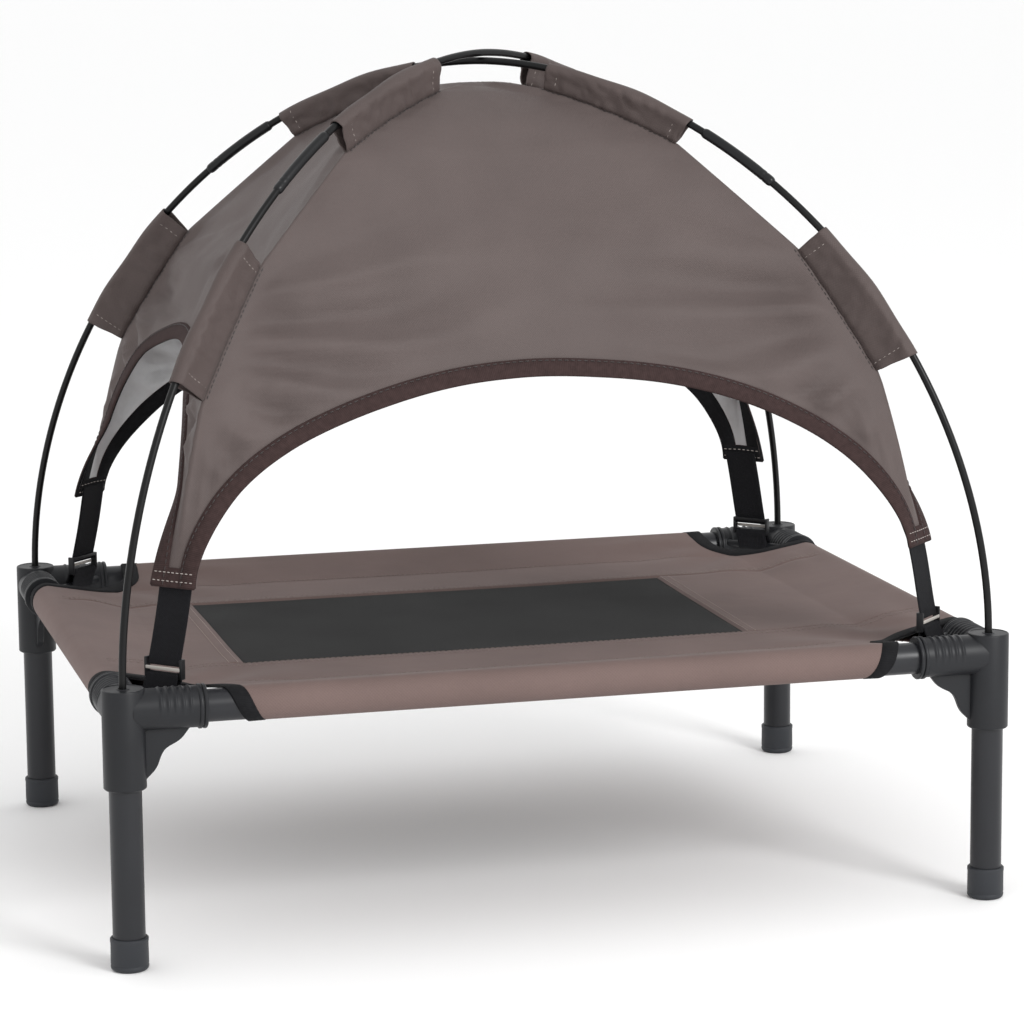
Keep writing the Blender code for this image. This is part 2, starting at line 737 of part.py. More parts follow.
def block(name, half_width, depths, z, height, side):
    """A buckle bar or side: across the strap by half_width each way, over a range of depths."""
    bm = bmesh.new()
    bmesh.ops.create_cube(bm, size=1.0)
    size = (2 * half_width, depths[1] - depths[0], height)
    bmesh.ops.scale(bm, vec=size, verts=bm.verts)
    for vert in bm.verts:
        depth = (depths[0] + depths[1]) / 2 + vert.co.y
        vert.co = strap_point(depth, side + vert.co.x, z + vert.co.z)
    bmesh.ops.recalc_face_normals(bm, faces=bm.faces)
    return mesh_object(name, bm)


def buckle_mesh():
    """Frame with a bar behind the strap at its top and bottom, and a middle bar before it."""
    depth, side = strap_line(BUCKLE_Z)
    back = depth + STRAP_THICK / 2 + GAP + BUCKLE_BAR + 0.0004
    front = depth - STRAP_THICK / 2 - 0.0008
    half = BUCKLE_WIDTH / 2
    side_half = (BUCKLE_WIDTH - STRAP_WIDTH) / 4 - BUCKLE_CLEAR / 2
    pieces = []
    for way in (-1, 1):
        at = side + way * (half - side_half)
        pieces.append(block("side", side_half, (front, back), BUCKLE_Z, BUCKLE_HEIGHT, at))
    for z in (BUCKLE_Z + BUCKLE_HEIGHT / 2 - BUCKLE_BAR / 2, BUCKLE_Z - BUCKLE_HEIGHT / 2 + BUCKLE_BAR / 2):
        inward, bar_side = buckle_bar_place(z)
        depths = (inward - BUCKLE_BAR / 2, inward + BUCKLE_BAR / 2)
        pieces.append(block("bar", half - side_half, depths, z, BUCKLE_BAR, side))
    pieces.append(block("middle_bar", half - side_half, (front + 0.0002, back - 0.0002), BUCKLE_Z, BUCKLE_BAR, side))
    body = pieces[0]
    for piece in pieces[1:]:
        boolean(body, as_cutter(piece), "UNION")
    return baked(body)


def make_canopy():
    make_pole("upper", "front_left", "back_right", CANOPY_TOP)
    make_pole("lower", "front_right", "back_left", CANOPY_TOP - POLE_STEP)
    make_panel("front", "long", (1, 1, 1))
    make_panel("back", "long", (1, -1, 1))
    make_panel("left", "short", (1, 1, 1))
    make_panel("right", "short", (-1, 1, 1))
    tops = {corner: CANOPY_TOP for corner in ("front_left", "back_right")}
    for corner in CORNERS:
        for level in SLEEVE_SPANS:
            make_sleeve(corner, level, tops.get(corner, CANOPY_TOP - POLE_STEP))
    copies_at_corners("strap", strap_mesh(), WEBBING)


def make_buckles():
    copies_at_corners("strap_loop", loop_mesh(), WEBBING)
    copies_at_corners("buckle", buckle_mesh(), PLASTIC)


clear_scene()
PARTS = new_collection("dog_bed_with_canopy")
CUTTERS = new_collection("cutters")
PLASTIC = make_material("fitting_plastic", (0.030, 0.031, 0.035), 0.45)
RUBBER = make_material("foot_plastic", (0.050, 0.051, 0.057), 0.60)
STEEL = make_material("painted_steel", (0.035, 0.036, 0.040), 0.35, 0.2)
CLOTH = make_material("sheet_cloth", (0.185, 0.140, 0.125), 0.85)
NET = make_material("mesh_net", (0.050, 0.052, 0.050), 0.80)
TAPE = make_material("black_tape", (0.015, 0.015, 0.016), 0.80)
FIBREGLASS = make_material("fibreglass_rod", (0.014, 0.014, 0.015), 0.35)
CANOPY = make_material("canopy_cloth", (0.150, 0.120, 0.115), 0.75)
BINDING_TAPE = make_material("brown_tape", (0.062, 0.036, 0.036), 0.85)
WEBBING = make_material("webbing", (0.012, 0.012, 0.013), 0.85)
make_frame()
make_sheet()
make_buckles()
make_canopy()
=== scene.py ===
"""Looks of the raised dog bed with a removable canopy, in metres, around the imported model.

The canopy's cloth, its pole sleeves, bindings and straps ride on the body "canopy"; the sheet, the
frame and the buckles ride on the body "bed".
"""

import math

import bmesh
import bpy
from mathutils import Matrix, Vector, noise


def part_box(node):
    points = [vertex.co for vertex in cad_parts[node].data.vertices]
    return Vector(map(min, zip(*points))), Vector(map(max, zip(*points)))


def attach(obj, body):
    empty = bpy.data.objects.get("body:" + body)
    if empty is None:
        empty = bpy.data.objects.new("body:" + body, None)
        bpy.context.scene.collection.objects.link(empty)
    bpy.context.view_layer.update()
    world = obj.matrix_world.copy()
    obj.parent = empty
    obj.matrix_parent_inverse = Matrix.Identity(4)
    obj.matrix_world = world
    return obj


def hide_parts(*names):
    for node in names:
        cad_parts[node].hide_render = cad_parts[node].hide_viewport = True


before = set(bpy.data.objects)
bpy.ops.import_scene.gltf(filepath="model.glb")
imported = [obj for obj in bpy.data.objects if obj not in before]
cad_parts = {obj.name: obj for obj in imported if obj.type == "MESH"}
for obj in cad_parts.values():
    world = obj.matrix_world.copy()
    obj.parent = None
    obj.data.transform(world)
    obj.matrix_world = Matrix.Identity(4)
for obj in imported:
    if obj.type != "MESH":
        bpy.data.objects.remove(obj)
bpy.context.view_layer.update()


def cad_centre(node):
    low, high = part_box(node)
    return (low + high) / 2


# ---- sizes read from the frame ---------------------------------------------------------------
POST = cad_centre("leg_back_right")
POST_X, POST_Y = POST.x, POST.y
RAIL_Z = cad_centre("rail_front").z
TUBE_R = (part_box("rail_front")[1].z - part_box("rail_front")[0].z) / 2
BED_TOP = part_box("corner_fitting_back_right")[1].z
POST_R, ARM_R, POST_BOTTOM = 0.0137, 0.0133, 0.118
ARM_END, LIP_R = 0.052, 0.0143
SOCKET_R, SOCKET_BOTTOM = 0.0028, 0.154
GUSSET_THICK, GUSSET_ON_ARM, GUSSET_ON_POST_Z = 0.005, 0.042, 0.123
BAR_R = 0.0025
RIBS = (0.0225, 0.0272, 0.0319, 0.0366, 0.0413)     # along an arm from the post's axis
BUCKLE_Z, BUCKLE_HEIGHT, BUCKLE_BAR = 0.1875, 0.0130, 0.0022
ROD_R = 0.0025
UPPER_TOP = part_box("upper_pole_middle")[1].z - ROD_R
LOWER_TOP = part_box("lower_pole_middle")[1].z - ROD_R
MESH_LOW, MESH_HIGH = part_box("mesh_window")
SHEET_Z = (MESH_LOW.z + MESH_HIGH.z) / 2
TAIL_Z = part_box("canopy_panel_front")[0].z

# ---- shape of the cloth and poles, as in the CAD model -----------------------------------------
CLOTH = 0.0006
WRAP_R = TUBE_R + 0.0003 + CLOTH / 2
SEAM_REACH = 0.053          # rail axis to the sheet's sleeve seam
NOTCH_X, NOTCH_Y = 0.082, 0.074
NOTCH_SHIFTS = (-0.0065, 0.0100)    # of its edge, on top of a rail and beneath it
TAPE = 0.0105
ARC_POWER = 1.88
RIDGE_REACH, RIDGE_TOP, RIDGE_POWER = 0.329, 0.5445, 1.93
RIDGE_KNEE = (0.290, 0.350)
RIDGE_END = (0.315, TAIL_Z)
RIDGE_BOW = 0.0035
KNEE_SHARE = 0.72
CROWN_R = 0.0002
ARCH_BASE = 0.238
ARCHES = {"long": (0.237, 0.361), "short": (0.171, 0.374)}
SAG = {"long": 0.010, "short": 0.007}
BINDING = 0.011
TAIL_FLATTENS_AT = 0.300
BAR_REACH, BAR_Z = 0.028, 0.172
STRAP_BEHIND_TAIL = 0.0027
WEBBING_WIDTH, WEBBING = 0.025, 0.0012
SLEEVE_SPANS = {"lower": (0.309, 0.2455), "upper": (0.152, 0.050)}
FERRULE_AT, FERRULE_HALF, FERRULE_R = 0.187, 0.0295, 0.0035

DIAGONAL = math.hypot(POST_X, POST_Y)
ALONG, ACROSS = POST_X / DIAGONAL, POST_Y / DIAGONAL
CORNERS = {
    "front_left": (-1, -1), "front_right": (1, -1), "back_left": (-1, 1), "back_right": (1, 1),
}
POLE_TOPS = {
    "front_left": UPPER_TOP, "back_right": UPPER_TOP, "front_right": LOWER_TOP, "back_left": LOWER_TOP,
}
UP = Vector((0, 0, 1))
SIDES = {"front": "long", "back": "long", "left": "short", "right": "short"}
FLIPS = {"front": (1, 1), "back": (1, -1), "left": (1, 1), "right": (-1, 1)}


def smoothstep(low, high, x):
    t = min(1.0, max(0.0, (x - low) / (high - low)))
    return t * t * (3 - 2 * t)


def bump(x, middle, reach):
    """1 at the middle, falling smoothly to 0 at reach from it."""
    return 1 - smoothstep(0, reach, abs(x - middle))


# ---- materials ----------------------------------------------------------------------------------
CLOUDS = (0.3, 0.7)     # the range that a noise texture mostly keeps to
WAVES = (-1.0, 1.0)


class Nodes:
    """A short way to write a node tree."""

    def __init__(self, name):
        self.material = bpy.data.materials.new(name)
        self.material.use_nodes = True
        self.tree = self.material.node_tree
        self.shader = self.tree.nodes["Principled BSDF"]
        self.place = self.add("ShaderNodeTexCoord").outputs["Object"]

    def fill(self, node, values):
        for key, value in values.items():
            if isinstance(value, bpy.types.NodeSocket):
                self.tree.links.new(value, node.inputs[key])
            else:
                node.inputs[key].default_value = value

    def add(self, kind, values=None, **settings):
        node = self.tree.nodes.new(kind)
        for key, value in settings.items():
            setattr(node, key, value)
        self.fill(node, values or {})
        return node

    def set(self, **values):
        self.fill(self.shader, {key.replace("_", " "): value for key, value in values.items()})

    def math(self, operation, first, second=0.0):
        return self.add("ShaderNodeMath", {0: first, 1: second}, operation=operation).outputs[0]

    def ramp(self, value, low=0.0, high=1.0, between=CLOUDS):
        return self.add("ShaderNodeMapRange", {
            "Value": value, "From Min": between[0], "From Max": between[1], "To Min": low, "To Max": high,
        }).outputs[0]

    def noise(self, scale, detail=3.0, roughness=0.5):
        return self.add("ShaderNodeTexNoise", {
            "Vector": self.place, "Scale": scale, "Detail": detail, "Roughness": roughness,
        }).outputs["Fac"]

    def waves(self, axis, pitch):
        """Waves of a pitch in metres along one axis of the piece's own UVs."""
        uv = self.add("ShaderNodeUVMap", uv_map="cloth").outputs[0]
        apart = self.add("ShaderNodeSeparateXYZ", {"Vector": uv})
        return self.math("SINE", self.math("MULTIPLY", apart.outputs[axis], 2 * math.pi / pitch))

    def weave(self, pitch_x, pitch_y):
        return self.math("MULTIPLY", self.waves(0, pitch_x), self.waves(1, pitch_y))

    def mix(self, factor, first, second):
        return self.add("ShaderNodeMix", {0: factor, 6: first, 7: second}, data_type="RGBA").outputs[2]

    def shade(self, factor, colour, dark, light):
        """Sets the base colour between dark and light times a colour."""
        self.set(Base_Color=self.mix(factor, scaled(colour, dark), scaled(colour, light)))

    def bump(self, height, distance, strength=1.0, normal=None):
        values = {"Height": height, "Distance": distance, "Strength": strength}
        if normal:
            values["Normal"] = normal
        return self.add("ShaderNodeBump", values).outputs[0]


def srgb(red, green, blue):
    """A linear colour with alpha from 8-bit sRGB."""
    def channel(value):
        value /= 255
        return value / 12.92 if value <= 0.04045 else ((value + 0.055) / 1.055) ** 2.4

    return (channel(red), channel(green), channel(blue), 1.0)


def scaled(colour, factor):
    return (*[value * factor for value in colour[:3]], 1.0)


def cloth_material(name, colour, thread=0.0008, roughness=0.78, sheen=0.15, wrinkle=0.0006):
    """Woven cloth: thread colour variation, a weave bump, and soft creases."""
    nodes = Nodes(name)
    height = nodes.weave(2 * thread, 2 * thread)
    fine = nodes.noise(900.0, 2.0)
    tone = nodes.math("ADD", nodes.ramp(nodes.noise(14.0, 4.0), -0.10, 0.10), nodes.ramp(fine, -0.06, 0.06))
    tone = nodes.math("ADD", tone, nodes.ramp(height, -0.05, 0.05, WAVES))
    nodes.shade(nodes.ramp(tone, between=(-0.3, 0.3)), colour, 0.76, 1.24)
    soft = nodes.bump(nodes.noise(38.0, 3.0, 0.55), wrinkle)
    nodes.set(
        Normal=nodes.bump(height, 0.00012, 0.5, soft),
        Roughness=nodes.ramp(fine, roughness - 0.05, roughness + 0.05),
        Sheen_Weight=sheen, Sheen_Roughness=0.45, Specular_IOR_Level=0.25,
    )
    return nodes.material


def lining_material(name, colour):
    """The canopy's silver-coated inside."""
    nodes = Nodes(name)
    cloudy = nodes.noise(30.0, 5.0, 0.6)
    nodes.shade(nodes.ramp(cloudy), colour, 0.82, 1.1)
    soft = nodes.bump(nodes.noise(60.0, 4.0, 0.6), 0.0008)
    nodes.set(
        Normal=nodes.bump(nodes.weave(0.0016, 0.0016), 0.00010, 0.4, soft),
        Roughness=nodes.ramp(cloudy, 0.42, 0.58), Metallic=0.25,
    )
    return nodes.material


def net_material(name, colour):
    """The sheet's mesh window: rows of small holes between knitted cords; the holes painted dark, a painted
    shade.
    """
    nodes = Nodes(name)
    cells = nodes.weave(0.0022, 0.0022)
    hole = nodes.ramp(cells, between=(-0.15, 0.35))
    dull = nodes.mix(nodes.ramp(nodes.noise(12.0)), scaled(colour, 0.85), scaled(colour, 1.2))
    nodes.set(
        # The holes get a near-black colour: painted shade of the space under the bed.
        Base_Color=nodes.mix(hole, dull, scaled(colour, 0.45)), Normal=nodes.bump(cells, -0.0003, 0.8),
        Roughness=0.85, Specular_IOR_Level=0.1,
    )
    return nodes.material


def webbing_material(name, colour):
    """Flat woven strap: a herringbone of ribs along it."""
    nodes = Nodes(name)
    height = nodes.weave(0.0016, 0.0011)
    fuzz = nodes.ramp(nodes.noise(500.0, 2.0), -0.2, 0.2)
    nodes.shade(nodes.math("ADD", nodes.ramp(height, 0.2, 0.8, WAVES), fuzz), colour, 0.7, 1.5)
    nodes.set(Normal=nodes.bump(height, 0.0003, 0.7), Roughness=0.75, Specular_IOR_Level=0.15)
    return nodes.material


def tape_material(name, colour):
    """Folded binding tape: fine ribs across it."""
    nodes = Nodes(name)
    ribs = nodes.waves(1, 0.0012)
    fuzz = nodes.ramp(nodes.noise(300.0), -0.25, 0.25)
    nodes.shade(nodes.math("ADD", nodes.ramp(ribs, 0.35, 0.65, WAVES), fuzz), colour, 0.7, 1.35)
    soft = nodes.bump(nodes.noise(120.0), 0.0004)
    nodes.set(Normal=nodes.bump(ribs, 0.00012, 0.6, soft), Roughness=0.85, Specular_IOR_Level=0.15)
    return nodes.material


def hard_material(name, colour, clouds, tones, gloss, grain, relief, specular):
    """A surface with cloudy tone and gloss, and a grain given by its noise and its relief."""
    nodes = Nodes(name)
    cloudy = nodes.noise(clouds, 4.0, 0.6)
    nodes.shade(nodes.ramp(cloudy), colour, *tones)
    nodes.set(
        Roughness=nodes.ramp(cloudy, *gloss), Normal=nodes.bump(nodes.noise(*grain), *relief),
        Specular_IOR_Level=specular,
    )
    return nodes.material


def plastic_material(name, colour, roughness):
    """Moulded plastic: a fine moulded grain and slightly uneven gloss."""
    gloss = (roughness - 0.06, roughness + 0.08)
    return hard_material(name, colour, 24.0, (0.88, 1.15), gloss, (1400.0, 3.0, 0.6), (0.00004, 0.6), 0.3)


def steel_material(name, colour, specular=0.4):
    """Powder-coated tube: an orange-peel coat with a soft gloss."""
    peel = (700.0, 2.0, 0.5)
    return hard_material(name, colour, 18.0, (0.9, 1.12), (0.30, 0.42), peel, (0.00005, 0.5), specular)


def thread_material(name, colour):
    nodes = Nodes(name)
    nodes.shade(nodes.ramp(nodes.noise(2500.0, 2.0)), colour, 0.75, 1.2)
    nodes.set(Roughness=0.6, Sheen_Weight=0.2)
    return nodes.material


def floor_material():
    nodes = Nodes("floor")
    nodes.set(Base_Color=(0.98, 0.98, 0.98, 1), Roughness=0.7, Specular_IOR_Level=0.1)
    return nodes.material


CANOPY_CLOTH = cloth_material("canopy_cloth_fine", srgb(87, 77, 75), sheen=0.05, roughness=0.62)
# The sleeves' cloth is the canopy's cloth made darker: painted shade on the pole sleeves.
SHADED_SLEEVE_CLOTH = cloth_material(
    "sleeve_cloth_painted_shade", srgb(77, 67, 65), wrinkle=0.0016, roughness=0.60, sheen=0.03,
)
LINING = lining_material("canopy_lining_fine", srgb(205, 205, 206))
SHEET_CLOTH = cloth_material(
    "sheet_cloth_fine", srgb(108, 91, 87), thread=0.0011, roughness=0.80, sheen=0.05,
)
NET = net_material("mesh_net_fine", srgb(62, 62, 62))
BROWN_TAPE = tape_material("brown_tape_fine", srgb(56, 43, 42))
BLACK_TAPE = tape_material("black_tape_fine", srgb(24, 24, 26))
WEB = webbing_material("webbing_fine", srgb(22, 22, 25))
PLASTIC = plastic_material("fitting_plastic_fine", srgb(28, 29, 32), roughness=0.42)
FOOT_PLASTIC = plastic_material("foot_plastic_fine", srgb(48, 50, 54), roughness=0.55)
BUCKLE_PLASTIC = plastic_material("buckle_plastic_fine", srgb(24, 24, 26), roughness=0.38)
GREY_BAR = plastic_material("buckle_bar_fine", srgb(176, 171, 165), roughness=0.4)
STEEL = steel_material("painted_steel_fine", srgb(27, 28, 32))
RODS = steel_material("fibreglass_rod_fine", srgb(9, 9, 10), specular=0.25)
FERRULES = steel_material("ferrule_fine", srgb(15, 16, 18), specular=0.3)
PALE_THREAD = thread_material("pale_thread", srgb(172, 163, 157))
DARK_THREAD = thread_material("dark_thread", srgb(41, 33, 32))
TAUPE_THREAD = thread_material("taupe_thread", srgb(160, 144, 137))
SEAM_THREAD = thread_material("seam_thread", srgb(122, 106, 100))


# ---- mesh helpers ---------------------------------------------------------------------------------
def finish_piece(name, bm, materials, body, replaced=(), outward=True, sharp=None):
    """Makes the piece, rides it on a body and hides the CAD nodes it stands for. sharp is in degrees."""
    if outward:
        bmesh.ops.recalc_face_normals(bm, faces=bm.faces)
    mesh = bpy.data.meshes.new(name)
    bm.to_mesh(mesh)
    bm.free()
    made = bpy.data.objects.new(name, mesh)
    bpy.context.scene.collection.objects.link(made)
    for material in materials:
        mesh.materials.append(material)
    mesh.shade_smooth()
    if sharp:
        mesh.set_sharp_from_angle(angle=math.radians(sharp))
    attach(made, body)
    if replaced:
        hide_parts(*replaced)
    return made


def thicken(piece, offset):
    shell = piece.modifiers.new("Thickness", "SOLIDIFY")
    shell.thickness = CLOTH
    shell.offset = offset


def skin(bm, rings, around=None, lengths=None, closed=False, capped=True, slot_of=None):
    """Faces between neighbouring rings of vertices. Each ring closes on itself, and the rings do too
    when closed. UVs go round a ring by around and from ring to ring by lengths."""
    uv = bm.loops.layers.uv.get("cloth")
    count = len(rings[0])
    following = rings[1:] + rings[:1] if closed else rings[1:]
    for i, (low, high) in enumerate(zip(rings, following)):
        for j in range(count):
            k = (j + 1) % count
            face = bm.faces.new((low[j], low[k], high[k], high[j]))
            if slot_of:
                face.material_index = slot_of(j)
            if lengths:
                for loop, (a, b) in zip(face.loops, ((j, i), (j + 1, i), (j + 1, i + 1), (j, i + 1))):
                    loop[uv].uv = around[a], lengths[b]
    if capped and not closed:
        bm.faces.new(list(reversed(rings[0])))
        bm.faces.new(rings[-1])


def sweep(bm, stations, profile, slot_of=None, closed=False):
    """Sweeps a closed profile of (across, out) along stations of (place, across, out). UVs are metres
    round the profile and along the sweep."""
    bm.loops.layers.uv.new("cloth")
    rings, lengths = [], [0.0]
    for i, (place, across, out) in enumerate(stations):
        if i:
            lengths.append(lengths[-1] + (place - stations[i - 1][0]).length)
        rings.append([bm.verts.new(place + across * a + out * n) for a, n in profile])
    lengths.append(lengths[-1] + 0.001)
    around = [0.0]
    for a, b in zip(profile, profile[1:] + profile[:1]):
        around.append(around[-1] + math.hypot(b[0] - a[0], b[1] - a[1]))
    skin(bm, rings, around, lengths, closed, slot_of=slot_of)


def round_profile(radius, sides=12):
    return [
        (radius * math.cos(2 * math.pi * i / sides), radius * math.sin(2 * math.pi * i / sides))
        for i in range(sides)
    ]


def frames_along(points, hint):
    """Stations (place, across, out) along points, out kept near hint (a vector or one per point)."""
    stations = []
    for i, place in enumerate(points):
        ahead = points[min(i + 1, len(points) - 1)] - points[max(i - 1, 0)]
        ahead.normalize()
        wanted = hint[i] if isinstance(hint, list) else hint
        across = ahead.cross(wanted).normalized()
        stations.append((place, across, across.cross(ahead).normalized()))
    return stations


ROD_HINT = Vector((0.31, -0.47, 0.83)).normalized()     # not along any rod


def rod_piece(name, points, radius, material, body, replaced=(), sides=14):
    bm = bmesh.new()
    sweep(bm, frames_along(points, ROD_HINT), round_profile(radius, sides))
    finish_piece(name, bm, [material], body, replaced, sharp=40)


def add_stitches(bm, points, outs, length=0.0030, space=0.0014, radius=0.00028):
    """Adds a row of stitches along points lying on a surface whose outward directions are outs."""
    distances = [0.0]
    for a, b in zip(points, points[1:]):
        distances.append(distances[-1] + (b - a).length)
    total = distances[-1]

    def at(distance):
        i = 0
        while i < len(distances) - 2 and distances[i + 1] < distance:
            i += 1
        t = (distance - distances[i]) / max(1e-9, distances[i + 1] - distances[i])
        return points[i].lerp(points[i + 1], t), outs[i].lerp(outs[i + 1], t).normalized()

    count = int(total / (length + space))
    pitch = total / max(1, count)
    for k in range(count):
        start, out = at(k * pitch + space / 2)
        end, _ = at(k * pitch + space / 2 + length)
        ahead = (end - start).normalized()
        across = ahead.cross(out).normalized()
        rings = []
        for t, size in ((0.0, 0.35), (0.18, 1.0), (0.5, 1.15), (0.82, 1.0), (1.0, 0.35)):
            middle = start.lerp(end, t) + out * (radius * (0.5 * size - 0.1))
            rings.append([
                bm.verts.new(middle + across * (radius * size * x) + out * (radius * size * y))
                for x, y in ((1, 0), (0.5, 0.85), (-0.5, 0.85), (-1, 0), (0, -0.6))
            ])
        skin(bm, rings)


def stitch_piece(name, rows, material, body, slot_name, **sizes):
    bm = bmesh.new()
    for points, outs in rows:
        add_stitches(bm, points, outs, **sizes)
    finish_piece(name, bm, [material], body)


# ---- straps' lines ------------------------------------------------------------------------------
INWARD = Vector((1, 1, 0)).normalized()
SIDEWAYS = Vector((1, -1, 0)).normalized()


def strap_line(z):
    from_post = DIAGONAL - RIDGE_END[0]
    tail = Vector((from_post * ALONG - BAR_REACH, from_post * ACROSS - BAR_REACH, 0))
    share = (z - BAR_Z) / (RIDGE_END[1] - BAR_Z)
    return (tail.dot(INWARD) + STRAP_BEHIND_TAIL) * share, tail.dot(SIDEWAYS) * share


def strap_point(depth, side, z):
    """A point from its distances inward of the fitting's bar and sideways of the bar's middle."""
    return Vector((BAR_REACH, BAR_REACH, z)) + INWARD * depth + SIDEWAYS * side


def webbing_profile():
    """Section of a strap, as (across, out), with its thicker woven edges."""
    half, thick = WEBBING_WIDTH / 2, WEBBING / 2
    rows = [
        (half, 0.5), (half - 0.0008, 1.0), (half - 0.0028, 1.0), (half - 0.0034, 0.75),
        (0.0034 - half, 0.75), (0.0028 - half, 1.0), (0.0008 - half, 1.0), (-half, 0.5),
    ]
    return [(x, -y * thick) for x, y in reversed(rows)] + [(x, y * thick) for x, y in rows]


# ---- frame ------------------------------------------------------------------------------------------
def add_turned(bm, profile, start, axis, sides=64, swell=None):
    """Turns a profile of (distance along the axis, radius) round the axis from start. swell gives
    extra radius from a distance and a direction."""
    side = axis.cross(UP if abs(axis.z) < 0.9 else Vector((1.0, 0.0, 0.0)))
    side.normalize()
    up = side.cross(axis).normalized()
    rings = []
    for distance, radius in profile:
        middle = start + axis * distance
        if radius < 1e-6:
            rings.append([bm.verts.new(middle)] * sides)
            continue
        ring = []
        for i in range(sides):
            angle = 2 * math.pi * i / sides
            way = side * math.cos(angle) + up * math.sin(angle)
            extra = swell(distance, way) if swell else 0.0
            ring.append(bm.verts.new(middle + way * (radius + extra)))
        rings.append(ring)
    for low, high in zip(rings, rings[1:]):
        for i in range(sides):
            j = (i + 1) % sides
            corners = []
            for vert in (low[i], low[j], high[j], high[i]):
                if vert not in corners:
                    corners.append(vert)
            if len(corners) > 2:
                bm.faces.new(corners)


def corner_copies(prefix, bm, materials, replaced):
    """One piece for each corner from a shape made with the post at the origin and the bed's middle
    towards +X and +Y."""
    bmesh.ops.recalc_face_normals(bm, faces=bm.faces)
    for corner, (side_x, side_y) in CORNERS.items():
        copied = bm.copy()
        placed = Matrix.Translation((side_x * POST_X, side_y * POST_Y, 0)) @ Matrix.Diagonal(
            (-side_x, -side_y, 1, 1))
        bmesh.ops.transform(copied, matrix=placed, verts=copied.verts)
        if side_x * side_y < 0:
            bmesh.ops.reverse_faces(copied, faces=copied.faces)
        names = [f"{replaced}_{corner}"] if replaced else []
        finish_piece(f"{prefix}_{corner}", copied, materials, "bed", names, False, 38)
    bm.free()


def add_web(bm, axis):
    """The web under an arm along axis: square against the arm and post, its free edge an ogee."""
    arm_z = RAIL_Z - ARM_R + 0.0006
    start, end = Vector((GUSSET_ON_ARM, arm_z)), Vector((POST_R - 0.0006, GUSSET_ON_POST_Z))
    inward = Vector((-1, 1)).normalized()
    steps = 44
    outline = []
    for i in range(steps + 1):
        t = i / steps
        dip = 0.0016 * (1 - math.cos(2 * math.pi * t)) - 0.0008 * (1 - math.cos(4 * math.pi * t))
        outline.append(start.lerp(end, t) + inward * dip)
    hidden, hidden_z = 0.004, arm_z + 0.004     # inside the post and the arm
    square = ((hidden, GUSSET_ON_POST_Z), (hidden, hidden_z), (GUSSET_ON_ARM, hidden_z))
    outline += [Vector(corner) for corner in square]
    side = axis.cross(UP)
    layers = []
    for off, inset in ((-1.0, 0.0005), (-0.8, 0.0), (0.8, 0.0), (1.0, 0.0005)):
        layer = []
        for i, (reach, z) in enumerate(outline):
            slip = inward * (inset if i <= steps else 0.0)
            place = axis * (reach + slip.x) + Vector((0, 0, z + slip.y))
            layer.append(bm.verts.new(place + side * off * GUSSET_THICK / 2))
        layers.append(layer)
    skin(bm, layers)


def make_fittings():
    bm = bmesh.new()
    rim = 0.0010
    post = [
        (POST_BOTTOM, 0.0), (POST_BOTTOM, POST_R - 0.0007), (POST_BOTTOM + 0.0007, POST_R),
        (BED_TOP - 0.0009, POST_R), (BED_TOP - 0.0003, POST_R - 0.0003), (BED_TOP, POST_R - rim),
        (BED_TOP - 0.0004, POST_R - rim - 0.0005), (BED_TOP - 0.0004, SOCKET_R + 0.0016),
        (BED_TOP, SOCKET_R + 0.0011), (BED_TOP, SOCKET_R + 0.0004), (BED_TOP - 0.0005, SOCKET_R),
        (SOCKET_BOTTOM, SOCKET_R), (SOCKET_BOTTOM, 0.0),
    ]
    add_turned(bm, post, Vector(), UP)

    def ribs(distance, way):
        around = smoothstep(-0.35, 0.35, way.z)
        return 0.00075 * around * sum(bump(distance, rib, 0.0017) for rib in RIBS)

    end = ARM_END
    arm = [(0.0045, 0.0)] + [(0.0045 + (end - 0.0098) * i / 110, ARM_R) for i in range(111)]
    lip = (
        (-0.0050, LIP_R - 0.0003), (-0.0046, LIP_R), (-0.0032, LIP_R), (-0.0028, LIP_R - 0.0003),
        (-0.0026, ARM_R - 0.0002), (-0.0021, ARM_R - 0.0002), (-0.0019, LIP_R - 0.0003),
        (-0.0015, LIP_R), (-0.0003, LIP_R), (0.0003, LIP_R - 0.0005), (0.0003, 0.0),
    )
    arm += [(end + past, radius) for past, radius in lip]
    for axis in (Vector((1, 0, 0)), Vector((0, 1, 0))):
        add_turned(bm, arm, UP * RAIL_Z, axis, swell=ribs)
        add_web(bm, axis)
    bar_end = ARM_R - 0.0015
    bar_far = 2 * BAR_REACH - bar_end
    start, finish = Vector((bar_far, bar_end, BAR_Z)), Vector((bar_end, bar_far, BAR_Z))
    bar = finish - start
    add_turned(bm, [(0, 0), (0, BAR_R), (bar.length, BAR_R), (bar.length, 0)], start, bar.normalized(), 24)
    corner_copies("corner_joint", bm, [PLASTIC], "corner_fitting")


def make_legs():
    bm = bmesh.new()
    low, high = (place.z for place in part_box("leg_front_left"))
    tube = [(low, 0.0), (low, TUBE_R), (high, TUBE_R), (high, 0.0)]
    add_turned(bm, tube, Vector(), UP)
    corner_copies("leg_tube", bm, [STEEL], "leg")
    bm = bmesh.new()
    foot_low, foot_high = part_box("foot_front_left")
    top, foot_r = foot_high.z, (foot_high.x - foot_low.x) / 2
    cap = [
        (0.0, 0.0), (0.0, foot_r - 0.0022), (0.0004, foot_r - 0.0012), (0.0012, foot_r - 0.0004),
        (0.0022, foot_r - 0.0001), (0.0032, foot_r - 0.0001), (0.0036, foot_r - 0.0004),
        (0.0042, foot_r - 0.0004), (0.0046, foot_r - 0.0001), (top - 0.0030, foot_r - 0.0002),
        (top - 0.0026, foot_r), (top - 0.0006, foot_r), (top, foot_r - 0.0006), (top, TUBE_R - 0.0005),
        (top - 0.004, 0.0),
    ]
    add_turned(bm, cap, Vector(), UP)
    corner_copies("foot_cap", bm, [FOOT_PLASTIC], "foot")


